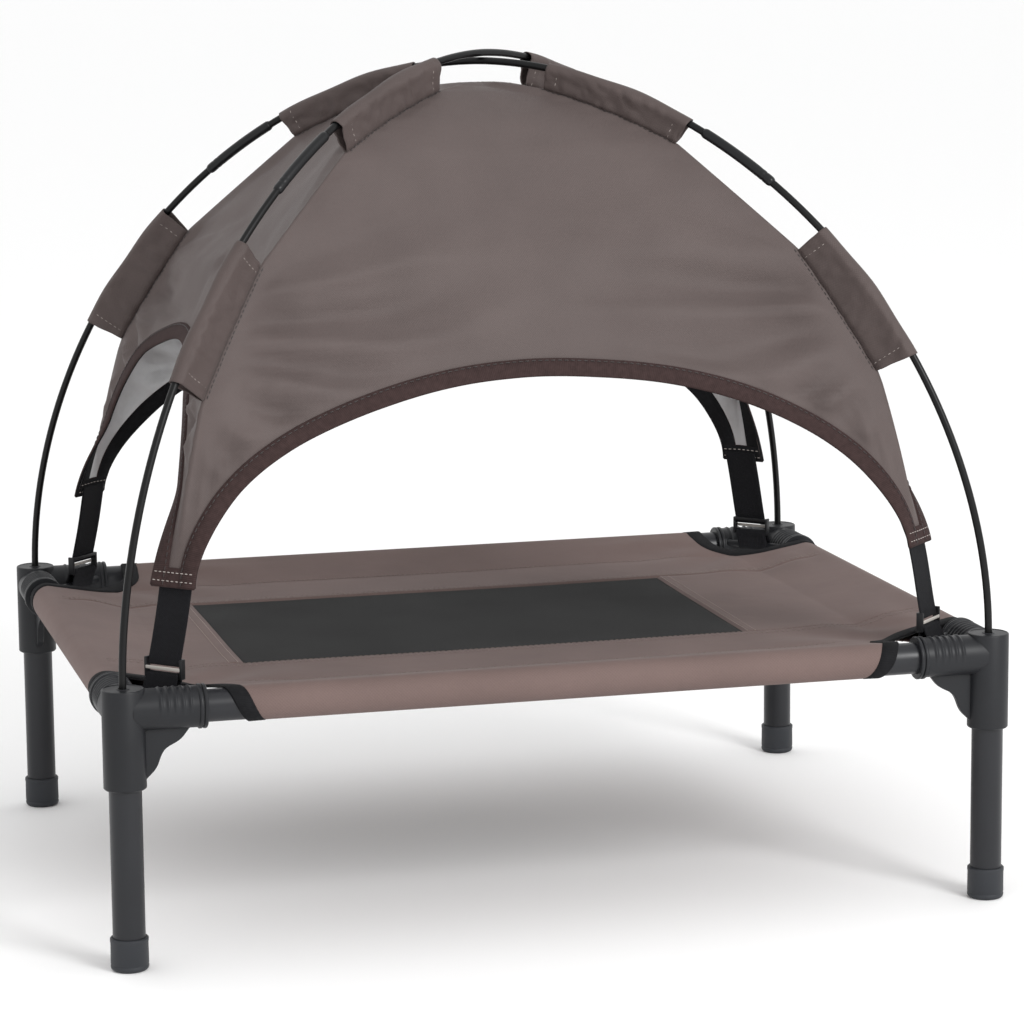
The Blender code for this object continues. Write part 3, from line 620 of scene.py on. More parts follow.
def make_rails():
    for name in SIDES:
        low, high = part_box(f"rail_{name}")
        axis = Vector((1, 0, 0)) if SIDES[name] == "long" else Vector((0, 1, 0))
        length = (high - low).dot(axis)
        middle = (low + high) / 2
        bm = bmesh.new()
        tube = [(0.0, 0.0), (0.0, TUBE_R), (length, TUBE_R), (length, 0.0)]
        add_turned(bm, tube, middle - axis * length / 2, axis)
        finish_piece(
            f"rail_tube_{name}", bm, [STEEL], "bed", [f"rail_{name}"], sharp=38,
        )


def add_block(bm, half_width, depths, z, height, side, rounding=0.0005):
    """A buckle bar or side with rounded edges: across the strap by half_width each way."""
    block = bmesh.new()
    bmesh.ops.create_cube(block, size=1.0)
    bmesh.ops.scale(block, vec=(2 * half_width, depths[1] - depths[0], height), verts=block.verts)
    bmesh.ops.bevel(
        block, geom=list(block.edges), offset=rounding, segments=3, profile=0.5, affect="EDGES",
    )
    for vert in block.verts:
        depth = (depths[0] + depths[1]) / 2 + vert.co.y
        vert.co = strap_point(depth, side + vert.co.x, z + vert.co.z)
    made = bpy.data.meshes.new("block")
    block.to_mesh(made)
    block.free()
    bm.from_mesh(made)
    bpy.data.meshes.remove(made)


def make_buckles():
    depth, side = strap_line(BUCKLE_Z)
    back = depth + WEBBING / 2 + 0.0003 + BUCKLE_BAR + 0.0004
    front = depth - WEBBING / 2 - 0.0008
    side_half = 0.0009
    half = WEBBING_WIDTH / 2 + 0.0002 + 2 * side_half
    bm = bmesh.new()
    for way in (-1, 1):
        add_block(bm, side_half, (front, back), BUCKLE_Z, BUCKLE_HEIGHT, side + way * (half - side_half))
    for way in (-1, 1):
        z = BUCKLE_Z + way * (BUCKLE_HEIGHT - BUCKLE_BAR) / 2
        bar_depth, _ = strap_line(z)
        bar_depth += WEBBING / 2 + 0.0003
        add_block(bm, half - side_half, (bar_depth, bar_depth + BUCKLE_BAR), z, BUCKLE_BAR, side)
    corner_copies("buckle_frame", bm, [BUCKLE_PLASTIC], "buckle")
    bm = bmesh.new()
    add_block(bm, half - side_half, (front, front + 0.0007), BUCKLE_Z, BUCKLE_BAR, side, 0.0003)
    corner_copies("buckle_bar", bm, [GREY_BAR], "")


def make_loops():
    """The short loop of webbing round the fitting's bar and the buckle's bottom bar."""
    low_z, high_z = BAR_Z, BUCKLE_Z - (BUCKLE_HEIGHT - BUCKLE_BAR) / 2
    high_in, high_side = strap_line(high_z)
    high_in += WEBBING / 2 + 0.0003 + BUCKLE_BAR / 2
    low_r = BAR_R + 0.0003 + WEBBING / 2
    high_r = BUCKLE_BAR / math.sqrt(2) + 0.0003 + WEBBING / 2
    steps = 14
    stations = []
    for middle_in, middle_side, z, radius, first in (
        (high_in, high_side, high_z, high_r, 0.0), (0.0, 0.0, low_z, low_r, math.pi),
    ):
        for i in range(steps + 1):
            angle = first + math.pi * i / steps
            out = INWARD * math.cos(angle) + Vector((0, 0, math.sin(angle)))
            place = strap_point(middle_in, middle_side, z) + out * radius
            stations.append((place, SIDEWAYS, out))
    bm = bmesh.new()
    sweep(bm, stations, webbing_profile(), closed=True)
    corner_copies("loop_web", bm, [WEB], "strap_loop")


# ---- poles ------------------------------------------------------------------------------------------
def diagonal_point(side, reach, z):
    return Vector((side[0] * reach * ALONG, side[1] * reach * ACROSS, z))


def pole_point(angle, top):
    power = 2 / ARC_POWER
    reach = DIAGONAL * max(0.0, math.cos(angle)) ** power
    return reach, BED_TOP + (top - BED_TOP) * max(0.0, math.sin(angle)) ** power


def pole_angle(reach):
    return math.acos((reach / DIAGONAL) ** (ARC_POWER / 2))


def arm_path(side, first, last, top, steps):
    return [
        diagonal_point(side, *pole_point(first + (last - first) * i / steps, top))
        for i in range(steps + 1)
    ]


def ferrule_span(top):
    """Angles where a ferrule starts and ends, up the pole."""
    joint = pole_angle(FERRULE_AT)
    ends = []
    for way in (-1, 1):
        angle, travelled, last = joint, 0.0, Vector(pole_point(joint, top))
        while travelled < FERRULE_HALF:
            angle += way * 0.0005
            place = Vector(pole_point(angle, top))
            travelled += (place - last).length
            last = place
        ends.append(angle)
    return ends


def ferrule_piece(corner, top):
    """A tube swaged down at both ends, with two crimped rings where it is fixed to its rod."""
    low, high = ferrule_span(top)
    steps = 60
    points = arm_path(CORNERS[corner], low, high, top, steps)
    bm = bmesh.new()
    rings = []
    for i, (place, across, out) in enumerate(frames_along(points, ROD_HINT)):
        t = i / steps
        ends = min(t, 1 - t)
        radius = FERRULE_R - 0.0007 * (1 - smoothstep(0.0, 0.03, ends))
        radius -= 0.00035 * (bump(t, 0.12, 0.012) + bump(t, 0.19, 0.012))
        rings.append([
            bm.verts.new(place + across * x + out * y) for x, y in round_profile(radius, 18)
        ])
    skin(bm, rings)
    finish_piece(f"ferrule_{corner}", bm, [FERRULES], "canopy")


def make_poles():
    joint = pole_angle(FERRULE_AT)
    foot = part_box("upper_pole_lower_front_left")[0].z
    for label, pair in (("upper", ("front_left", "back_right")), ("lower", ("front_right", "back_left"))):
        top = POLE_TOPS[pair[0]]
        for corner in pair:
            side = CORNERS[corner]
            points = [diagonal_point(side, DIAGONAL, foot + (BED_TOP - foot) * i / 3) for i in range(3)]
            points += arm_path(side, 0.0, joint, top, 48)
            node = f"{label}_pole_lower_{corner}"
            rod_piece(f"rod_{corner}", points, ROD_R, RODS, "canopy", [node])
            ferrule_piece(corner, top)
        rise = arm_path(CORNERS[pair[0]], joint, math.pi / 2, top, 40)
        fall = arm_path(CORNERS[pair[1]], joint, math.pi / 2, top, 40)
        rod_piece(
            f"rod_middle_{label}", rise + fall[-2::-1], ROD_R, RODS, "canopy",
            [f"{label}_pole_middle"],
        )


# ---- canopy -------------------------------------------------------------------------------------------
def round_ridge_at(share):
    """(reach, z) on the canopy's corner seam before it is pulled taut between its sleeves."""
    if share <= KNEE_SHARE:
        knee_angle = math.acos((RIDGE_KNEE[0] / RIDGE_REACH) ** (RIDGE_POWER / 2))
        crown_angle = math.acos((CROWN_R / RIDGE_REACH) ** (RIDGE_POWER / 2))
        angle = crown_angle + (knee_angle - crown_angle) * share / KNEE_SHARE
        power = 2 / RIDGE_POWER
        return (
            RIDGE_REACH * math.cos(angle) ** power,
            BED_TOP + (RIDGE_TOP - BED_TOP) * math.sin(angle) ** power,
        )
    t = (share - KNEE_SHARE) / (1 - KNEE_SHARE)
    top_reach, top_z = round_ridge_at(KNEE_SHARE)
    bow = RIDGE_BOW * 4 * t * (1 - t)
    return top_reach + (RIDGE_END[0] - top_reach) * t + bow, top_z + (RIDGE_END[1] - top_z) * t


def find_knots():
    """Shares of the corner seam where the sleeves end, from the crown to the strap."""
    steps = 600
    places = [round_ridge_at(i / steps) for i in range(steps + 1)]
    knots = [0.0]
    for reach in (*sorted(SLEEVE_SPANS["upper"]), *sorted(SLEEVE_SPANS["lower"])):
        pole = pole_point(pole_angle(reach), (UPPER_TOP + LOWER_TOP) / 2)
        near = min(range(steps + 1), key=lambda i: math.dist(places[i], pole))
        knots.append(near / steps)
    return [*knots, 1.0]


def ridge_at(share):
    """(reach, z) on the canopy's corner seam: share 0 at the crown, 1 where the strap starts.
    The cloth is pulled nearly straight from one sleeve's end to the next."""
    reach, z = round_ridge_at(share)
    for start, end, taut in zip(KNOTS, KNOTS[1:], TAUT):
        if start <= share <= end:
            t = (share - start) / (end - start)
            first, last = round_ridge_at(start), round_ridge_at(end)
            reach += taut * (first[0] + (last[0] - first[0]) * t - reach)
            z += taut * (first[1] + (last[1] - first[1]) * t - z)
            break
    return reach, z


KNOTS = find_knots()
TAUT = (0.0, 0.35, 0.95, 0.65, 0.5)


def half_width(share, shape):
    """From a panel's middle to its corner seam."""
    return ridge_at(share)[0] * (ALONG if shape == "long" else ACROSS)


def share_at(z):
    low, high = 0.0, 1.0
    for _ in range(40):
        middle = (low + high) / 2
        if ridge_at(middle)[1] > z:
            low = middle
        else:
            high = middle
    return (low + high) / 2


def arch_station(spread, shape, grow):
    """Column and share of the opening's edge, grown by grow, at an angle round it from 0 to pi."""
    half, top = ARCHES[shape]
    grow += 0.0013 * noise.noise(Vector((spread * 4.0, half * 40, 0.0))) * math.sin(spread)
    z = max(RIDGE_END[1], ARCH_BASE + (top + grow - ARCH_BASE) * math.sin(spread))
    share = share_at(z)
    column = -(half + grow) * math.cos(spread) / half_width(share, shape)
    return max(-1.0, min(1.0, column)), share


def smooth_panel_point(column, share, shape):
    """The panel's unwrinkled surface. The panel faces -Y when long, or -X when short."""
    reach, z = ridge_at(share)
    half, out = reach * ALONG, reach * ACROSS
    if shape == "short":
        half, out = out, half
    belly = math.sin(math.pi * share / 0.9) if share < 0.9 else 0.0
    sag = SAG[shape] * (1 - column * column) * belly
    from_ridge = half * (1 - abs(column))
    flat = min(1.0, max(0.0, (TAIL_FLATTENS_AT - z) / (TAIL_FLATTENS_AT - RIDGE_END[1])))
    turn = math.radians(45) * flat * flat * (3 - 2 * flat)
    side = math.copysign(half - from_ridge * math.cos(turn), column)
    outward = out - sag + from_ridge * math.sin(turn)
    return Vector((side, -outward, z)) if shape == "long" else Vector((-outward, side, z))


def panel_normal(column, share, shape):
    """Outward direction of the unwrinkled panel."""
    step = 0.004
    c0, c1 = max(-1.0, column - step), min(1.0, column + step)
    s0, s1 = max(0.002, share - step), min(1.0, share + step)
    across = smooth_panel_point(c1, share, shape) - smooth_panel_point(c0, share, shape)
    down = smooth_panel_point(column, s1, shape) - smooth_panel_point(column, s0, shape)
    normal = down.cross(across).normalized()
    outward = Vector((0, -1, 0.3)) if shape == "long" else Vector((-1, 0, 0.3))
    return normal if normal.dot(outward) > 0 else -normal


def fold_height(place, column, share, shape, seed):
    """How far the cloth's folds stand out of the smooth panel at a place on it."""
    z = ridge_at(share)[1]
    from_ridge = half_width(share, shape) * (1 - abs(column))
    side = math.copysign(1.0, column)
    across = abs(place.x if shape == "long" else place.y)
    # Folds that run in from the lower sleeves, where the cloth is pulled.
    pull_share = (KNOTS[3] + KNOTS[4]) / 2
    pull_x, pull_z = half_width(pull_share, shape) + 0.110, ridge_at(pull_share)[1]
    away = math.hypot(pull_x - across, z - pull_z)
    turn = math.atan2(z - pull_z, pull_x - across)
    wander = noise.noise(Vector((turn * 2.2, away * 7.0, seed + side * 3.7)))
    reach = smoothstep(0.105, 0.145, away) * (1 - 0.85 * smoothstep(0.17, 0.33, away))
    reach *= (1 - smoothstep(0.02, 0.40, turn)) * (1 - smoothstep(0.60, 0.95, -turn))
    wave = math.sin(turn * 27 + 3.4 * wander + seed)
    height = 0.0056 * reach * (wave if wave < 0 else wave * wave)
    # A few sharper creases that lie the same way.
    lie = Vector((turn * 9.0, away * 5.0, seed * 2 + side))
    crease = 1 - abs(noise.noise(lie)) * 5
    height += 0.0028 * reach * max(0.0, crease)
    # Upright pleats in the narrow tail.
    in_tail = 1 - smoothstep(0.27, 0.345, z)
    pleat = math.sin(from_ridge / 0.0017 + 2.2 * wander + seed)
    pleat *= 0.0017 * in_tail * (1 - smoothstep(0.020, 0.034, from_ridge))
    # Slack waves over the whole panel.
    height += (0.0042 if shape == "long" else 0.0056) * noise.noise(place * 11.0 + Vector((seed, 0, 0)))
    height += 0.0014 * noise.noise(place * 33.0 + Vector((0, seed, 0)))
    pucker = 0.0005 * math.exp(-from_ridge / 0.010) * math.sin(share * 170 + seed * 2)
    return smoothstep(0.0, 0.016, from_ridge) * height + smoothstep(0, 0.003, from_ridge) * (pucker + pleat)


def canopy_point(column, share, side_name, folded=1.0):
    """A point on the canopy with its folds, and its outward direction."""
    shape = SIDES[side_name]
    place = smooth_panel_point(column, share, shape)
    normal = panel_normal(column, share, shape)
    if folded:
        seed = 1.3 + 2.1 * list(SIDES).index(side_name)
        place = place + normal * folded * fold_height(place, column, share, shape, seed)
    flip_x, flip_y = FLIPS[side_name]
    turn = Matrix.Diagonal((flip_x, flip_y, 1))
    return turn @ place, turn @ normal


def loose_share(column, share, end, shape):
    """0 on the strip that the edge's tape holds flat, rising to 1 away from it."""
    edge = smooth_panel_point(column, end, shape)
    near = (edge - smooth_panel_point(column, share, shape)).length
    z = ridge_at(share)[1]
    half, top = ARCHES[shape]
    rise = (z - ARCH_BASE) / (top - ARCH_BASE)
    if rise < 1:
        opening = half * math.sqrt(1 - max(0.0, rise) ** 2)
        aside = max(0.0, abs(column) * half_width(share, shape) - opening)
        near *= aside / max(1e-6, math.hypot(near, aside))
    fade = 0.005 + 0.009 * smoothstep(0.25, 0.30, z)
    return smoothstep(BINDING + 0.0010, BINDING + fade, near)


def spaced_out(stations):
    """Stations whose columns rise by at least a small step."""
    kept = [stations[0]]
    for station in stations[1:]:
        if station[0] > kept[-1][0] + 0.006:
            kept.append(station)
    return kept


def panel_columns(shape):
    """(column, last share) across a panel: the ridge, the cloth beside the tail, the opening."""
    steps = 84
    edge = [arch_station(math.pi * i / steps, shape, 0.0006) for i in range(steps + 1)]
    halves = []
    for half in (edge[:steps // 2], [(-column, share) for column, share in edge[:steps // 2:-1]]):
        half = spaced_out(half)
        first = half[0][0]
        halves.append([(-1 + (first + 1) * i / 5, 1.0) for i in range(5)] + half)
    left, right = halves
    return left + [edge[steps // 2]] + [(-column, share) for column, share in reversed(right)]


def lining_step(column, share, side_name):
    """From the cloth's outside to its lining, one thickness in. Panels that meet at a ridge agree on it."""
    shape = SIDES[side_name]
    normal = panel_normal(column, share, shape)
    if abs(column) >= 1:
        across = panel_normal(-1.0, share, "short" if shape == "long" else "long")
        if column > 0 and shape == "long":
            across.x = -across.x
        elif column > 0:
            across.y = -across.y
        normal = (normal + across) / (1 + normal.dot(across))
    flip_x, flip_y = FLIPS[side_name]
    return Matrix.Diagonal((flip_x, flip_y, 1)) @ normal * -CLOTH


def make_canopy_cloth():
    bm = bmesh.new()
    uv = bm.loops.layers.uv.new("cloth")
    rows = 100
    crown = Vector((0, 0, ridge_at(0.0)[1]))
    for side_name, shape in SIDES.items():
        columns = panel_columns(shape)
        outer, inner = [], []
        for column, end in columns:
            outside, inside = [], []
            for v in range(rows + 1):
                share = min(end, v / rows)
                folded = loose_share(column, share, end, shape)
                place = canopy_point(column, share, side_name, folded)[0]
                step = lining_step(column, share, side_name)
                if v == 0:
                    place, step = crown, Vector((0, 0, -CLOTH))
                outside.append(bm.verts.new(place))
                inside.append(bm.verts.new(place + step))
            outer.append(outside)
            inner.append(inside)
        flip = FLIPS[side_name][0] * FLIPS[side_name][1] * (1 if shape == "long" else -1)

        def add_face(verts, slot):
            if flip < 0:
                verts.reverse()
            face = bm.faces.new(verts)
            face.material_index = slot
            for loop in face.loops:
                place = loop.vert.co
                loop[uv].uv = (place.x if shape == "long" else place.y), place.z

        for i in range(len(columns) - 1):
            for j in range(rows):
                add_face([outer[i][j], outer[i][j + 1], outer[i + 1][j + 1], outer[i + 1][j]], 0)
                add_face([inner[i][j], inner[i + 1][j], inner[i + 1][j + 1], inner[i][j + 1]], 1)
            add_face([outer[i][rows], inner[i][rows], inner[i + 1][rows], outer[i + 1][rows]], 0)
    bmesh.ops.remove_doubles(bm, verts=bm.verts, dist=0.00001)
    bmesh.ops.dissolve_degenerate(bm, edges=bm.edges, dist=0.000001)
    return finish_piece(
        "canopy_cloth", bm, [CANOPY_CLOTH, LINING], "canopy",
        [f"canopy_panel_{name}" for name in SIDES], outward=False,
    )


def canopy_cut():
    """Width and length of the cloth if its four panels were laid flat round the crown."""
    spans = []
    for shape in ("short", "long"):
        points = [smooth_panel_point(0.0, i / 60, shape) for i in range(61)]
        top = ARCHES[shape][1]
        kept = [place for place in points if place.z >= top]
        spans.append(2 * sum((b - a).length for a, b in zip(kept, kept[1:])))
    tails = 2 * (RIDGE_KNEE[1] - RIDGE_END[1])
    return round(spans[0] + tails, 3), round(spans[1] + tails, 3)


def make_ridge_stitches():
    """Dark rows beside each corner seam, where its sleeves are sewn in."""
    rows = []
    steps = 60
    for side_name, shape in SIDES.items():
        for way in (-1, 1):
            for first, last in ((KNOTS[1], KNOTS[2]), (KNOTS[3], KNOTS[4])):
                points, outs = [], []
                for i in range(steps + 1):
                    share = first + (last - first) * i / steps
                    column = way * (1 - 0.0030 / half_width(share, shape))
                    place, out = canopy_point(column, share, side_name)
                    points.append(place + out * 0.0001)
                    outs.append(out)
                rows.append((points, outs))
    sizes = {"length": 0.0026, "space": 0.0012}
    stitch_piece("ridge_stitches", rows, DARK_THREAD, "canopy", "canopy_cloth", **sizes)


def make_arch_bindings():
    steps = 150
    for side_name, shape in SIDES.items():
        stations, seam, outs = [], [], []
        for i in range(steps + 1):
            angle = math.pi * i / steps
            edge, out = canopy_point(*arch_station(angle, shape, 0.0), side_name, 0.0)
            inner, _ = canopy_point(*arch_station(angle, shape, BINDING), side_name, 0.0)
            across = (inner - edge).normalized()
            out = (out - across * out.dot(across)).normalized()
            stations.append((edge - out * CLOTH / 2, across, out))
            seam.append(edge + across * (BINDING - 0.0016) + out * 0.0012)
            outs.append(out)
        bm = bmesh.new()
        profile = [
            (-0.0012, 0.0), (-0.0009, -0.0008), (0.0, -0.0012), (BINDING / 2, -0.0011), (BINDING, -0.0010),
            (BINDING + 0.0003, 0.0), (BINDING, 0.0014), (BINDING / 2, 0.0015), (0.0, 0.0014),
            (-0.0009, 0.0009),
        ]
        sweep(bm, stations, profile, lambda j: 1 if j < 4 else 0)
        finish_piece(
            f"arch_tape_{side_name}", bm, [BROWN_TAPE, BLACK_TAPE], "canopy",
            [f"arch_binding_{side_name}"],
        )
        stitch_piece(
            f"arch_stitches_{side_name}", [(seam, outs)], DARK_THREAD, "canopy", "brown_tape",
        )


def seam_under(reach, z):
    steps = 400
    places = [ridge_at(0.9 * i / steps) for i in range(steps + 1)]
    return min(places, key=lambda p: (p[0] - reach) ** 2 + (p[1] - z) ** 2)


def sleeve_section(height, slack):
    """Section of a pole sleeve, as (out from the seam, aside): a drop, round the pole at its top."""
    half = 0.0046 + slack
    middle = height - 0.0012
    points = []
    steps = 12
    for i in range(steps + 1):
        angle = -math.pi / 2 + math.pi * i / steps
        points.append((middle + half * math.cos(angle), half * math.sin(angle)))
    walls = 7
    for i in range(1, walls + 1):
        t = i / walls
        aside = half * (1 - t) ** 0.8 * (1 - 0.25 * math.sin(math.pi * t)) + 0.0007 * t
        points.append((middle * (1 - t), aside))
    mirrored = [(out, -aside) for out, aside in points[-1:steps:-1]]
    return points + mirrored


def make_sleeve(corner, level):
    side = CORNERS[corner]
    top = POLE_TOPS[corner]
    aside = Vector((-side[1] * ACROSS, side[0] * ALONG, 0)).normalized()
    start, end = SLEEVE_SPANS[level]
    first, last = pole_angle(start), pole_angle(end)
    stations = 70
    seed = 3.1 * list(CORNERS).index(corner) + (1.7 if level == "upper" else 0.0)
    bm = bmesh.new()
    bm.loops.layers.uv.new("cloth")
    rings, along = [], [0.0]
    previous = None
    for i in range(stations + 1):
        t = i / stations
        reach, z = pole_point(first + (last - first) * t, top)
        base = seam_under(reach, z)
        pole, root = diagonal_point(side, reach, z), diagonal_point(side, *base)
        away = (pole - root).normalized()
        if previous is not None:
            along.append(along[-1] + (root - previous).length)
        previous = root
        slack = 0.0007 * math.sin(9 * t + seed) * math.sin(math.pi * t)
        ring = []
        height = (pole - root).length + ROD_R + 0.0006
        for out, off in sleeve_section(height - 0.0034, slack):
            share = out / height
            crease = math.sin(along[-1] / 0.0026 + 4 * noise.noise(Vector((t * 6, seed, 0.0))))
            near_seam = math.exp(-share * 3.2) * math.sin(math.pi * min(1, share * 4 + 0.15) / 2)
            fold = 0.0015 * crease * near_seam
            if share < 0.9:
                fold += 0.0026 * noise.noise(Vector((t * 9, share * 2.5, seed + (5 if off > 0 else 0))))
            wall = min(1.0, abs(off) / 0.002)
            ring.append(root + away * out + aside * (off + math.copysign(fold * wall, off)))
        rings.append([bm.verts.new(place) for place in ring])
    count = len(rings[0])
    around = [0.0]
    for j in range(count):
        around.append(around[-1] + (rings[0][(j + 1) % count].co - rings[0][j].co).length)
    skin(bm, rings, around, along, capped=False)
    # Hem stitches near each end, on both walls.
    rows = []
    for at in (0.085, 0.915):
        i = round(at * stations)
        ring = [vert.co.copy() for vert in rings[i]]
        top_point = max(ring, key=lambda place: (place - ring[count // 2]).length)
        for way in (1, -1):
            wall = sorted(
                (place for place in ring if (place - top_point).dot(aside) * way >= -1e-9),
                key=lambda place: (place - top_point).length,
            )
            lifted = [place + aside * way * 0.0004 for place in wall]
            rows.append((lifted, [aside * way] * len(lifted)))
    sleeve = finish_piece(
        f"sleeve_{level}_{corner}", bm, [SHADED_SLEEVE_CLOTH], "canopy",
        [f"pole_sleeve_{level}_{corner}"],
    )
    thicken(sleeve, 1)
    return rows


# ---- bed sheet ----------------------------------------------------------------------------------------
LEAN = math.acos(WRAP_R / SEAM_REACH)


def sleeve_line(distance, post):
    """The sheet's section across one rail: for a distance along the cloth outward from the seam,
    (reach from the bed's middle, z). It rises to the rail, goes round it, and returns to the seam."""
    seam = post - SEAM_REACH
    straight = SEAM_REACH * math.sin(LEAN)
    turn = 2 * (math.pi - LEAN)
    if distance <= straight:
        t = distance / straight
        end = (post + WRAP_R * math.cos(math.pi - LEAN), RAIL_Z + WRAP_R * math.sin(LEAN))
        return seam + (end[0] - seam) * t, SHEET_Z + (end[1] - SHEET_Z) * t
    if distance <= straight + WRAP_R * turn:
        angle = math.pi - LEAN - (distance - straight) / WRAP_R
        return post + WRAP_R * math.cos(angle), RAIL_Z + WRAP_R * math.sin(angle)
    t = min(1.0, (distance - straight - WRAP_R * turn) / straight)
    start = (post + WRAP_R * math.cos(math.pi - LEAN), RAIL_Z - WRAP_R * math.sin(LEAN))
    end = (seam + 0.004, SHEET_Z - 0.0022)
    return start[0] + (end[0] - start[0]) * t, start[1] + (end[1] - start[1]) * t


def sleeve_length():
    return 2 * SEAM_REACH * math.sin(LEAN) + WRAP_R * 2 * (math.pi - LEAN)


def sheet_lines(post, marks):
    """Cloth coordinates of the grid lines across one axis, from one sleeve's closing seam to the
    other's, closer together at marks. Beyond the seams a coordinate is seam plus cloth length."""
    seam = post - SEAM_REACH
    fine, close, coarse = 0.0007, 0.0020, 0.0045
    reach = 0.003
    inner = []
    at = -seam
    while at < seam - 1e-6:
        inner.append(at)
        if min(abs(at - mark) for mark in marks) < reach:
            at += fine
        else:
            at += close if abs(at) > post - 0.092 else coarse
    inner.append(seam)
    length = sleeve_length()
    steps = 56
    outer = [seam + length * i / steps for i in range(1, steps + 1)]
    return [-value for value in reversed(outer)] + inner + outer


def sheet_relief(x, y):
    """Height of the sheet's seams, creases and slight slack over its smooth shape."""
    height = 0.0
    for edge in (-MESH_HALF_Y, MESH_HALF_Y):
        height -= 0.0009 * bump(y, edge, 0.0014)
        height += 0.0005 * bump(y, edge + math.copysign(0.0035, edge), 0.0030)
    for edge in (MESH_LOW.x, MESH_HIGH.x):
        if abs(y) < MESH_HALF_Y:
            height -= 0.0009 * bump(x, edge, 0.0014)
            height += 0.0005 * bump(x, edge + math.copysign(0.0045, edge), 0.0040)
    inner_x, inner_y = POST_X - abs(x), POST_Y - abs(y)
    corner = math.hypot(inner_x, inner_y)
    angle = math.atan2(inner_y, inner_x)
    pull = smoothstep(0.075, 0.10, corner) * (1 - smoothstep(0.12, 0.17, corner))
    phase = 2.0 * noise.noise(Vector((x * 9, y * 9, 4.0)))
    height += 0.0010 * pull * math.sin(angle * 15 + phase)
    height += 0.0007 * noise.noise(Vector((x * 9, y * 9, 1.0)))
    middle = 1 - (x / (POST_X - SEAM_REACH)) ** 2
    height -= 0.0012 * max(0.0, middle) * (1 - (min(abs(y), POST_Y) / POST_Y) ** 2)
    return height


def sheet_point(s, t):
    """The sheet's surface at cloth coordinates (s, t), which are x and y inside the seams."""
    seam_x, seam_y = POST_X - SEAM_REACH, POST_Y - SEAM_REACH
    x, rise_x = s, SHEET_Z
    if abs(s) > seam_x:
        x, rise_x = sleeve_line(abs(s) - seam_x, POST_X)
        x = math.copysign(x, s)
    y, rise_y = t, SHEET_Z
    if abs(t) > seam_y:
        y, rise_y = sleeve_line(abs(t) - seam_y, POST_Y)
        y = math.copysign(y, t)
    z = rise_x + rise_y - SHEET_Z
    top = smoothstep(0.0, 0.02, straight_left(s, POST_X)) * smoothstep(0.0, 0.02, straight_left(t, POST_Y))
    return Vector((x, y, z + top * sheet_relief(x, y)))


def notch_shift(distance):
    """How much farther from the post the cut-out's edge is, where the cloth is at a distance past
    its sleeve seam: the edge slants as it goes over the rail and down its outer side."""
    over_top = SEAM_REACH * math.sin(LEAN) + WRAP_R * (math.pi / 2 - LEAN)
    if distance <= over_top:
        return NOTCH_SHIFTS[0] * smoothstep(0.0, over_top, distance)
    t = min(1.0, (distance - over_top) / (math.pi * WRAP_R))
    return NOTCH_SHIFTS[0] + (NOTCH_SHIFTS[1] - NOTCH_SHIFTS[0]) * t


def straight_left(value, post):
    """How much of the flat run is left before the cloth bends round a rail."""
    return max(0.0, post - SEAM_REACH + SEAM_REACH * math.sin(LEAN) - abs(value))


MESH_HALF_Y = MESH_HIGH.y


def notch_distance(s, t, place):
    """Below 1 inside a corner's cut-out, for the cloth coordinates (s, t) and their place."""
    dx = POST_X - abs(place.x) - notch_shift(abs(t) - (POST_Y - SEAM_REACH))
    dy = POST_Y - abs(place.y) - notch_shift(abs(s) - (POST_X - SEAM_REACH))
    cut = 0.0055
    return math.hypot(dx / (NOTCH_X - cut), dy / (NOTCH_Y - cut))


def make_sheet():
    seam_x, seam_y = POST_X - SEAM_REACH, POST_Y - SEAM_REACH
    across = sheet_lines(POST_X, [MESH_LOW.x, MESH_HIGH.x])
    down = sheet_lines(POST_Y, [-MESH_HALF_Y, MESH_HALF_Y, -seam_y, seam_y])
    bm = bmesh.new()
    uv = bm.loops.layers.uv.new("cloth")
    points = {}
    for i, s in enumerate(across):
        for j, t in enumerate(down):
            place = sheet_point(s, t)
            if notch_distance(s, t, place) >= 1:
                points[i, j] = bm.verts.new(place)
    hidden = 0.0006
    for i in range(len(across) - 1):
        for j in range(len(down) - 1):
            keys = [(i, j), (i + 1, j), (i + 1, j + 1), (i, j + 1)]
            if not all(key in points for key in keys):
                continue
            middle_s, middle_t = (across[i] + across[i + 1]) / 2, (down[j] + down[j + 1]) / 2
            if abs(middle_s) > seam_x + sleeve_length() / 2 and abs(middle_t) > seam_y:
                continue
            in_window = MESH_LOW.x + hidden < middle_s < MESH_HIGH.x - hidden
            if in_window and abs(middle_t) < MESH_HALF_Y - hidden:
                continue
            face = bm.faces.new([points[key] for key in keys])
            for loop, (a, b) in zip(face.loops, keys):
                loop[uv].uv = (across[a], down[b])
    loose = [vert for vert in bm.verts if not vert.link_faces]
    bmesh.ops.delete(bm, geom=loose, context="VERTS")
    sheet = finish_piece(
        "bed_sheet_cloth", bm, [SHEET_CLOTH], "bed",
        ["sheet_front_strip", "sheet_back_strip", "sheet_left_panel", "sheet_right_panel"], outward=False,
    )
    thicken(sheet, 0)
    width, depth = across[-1] - across[0], down[-1] - down[0]
    return sheet, width, depth


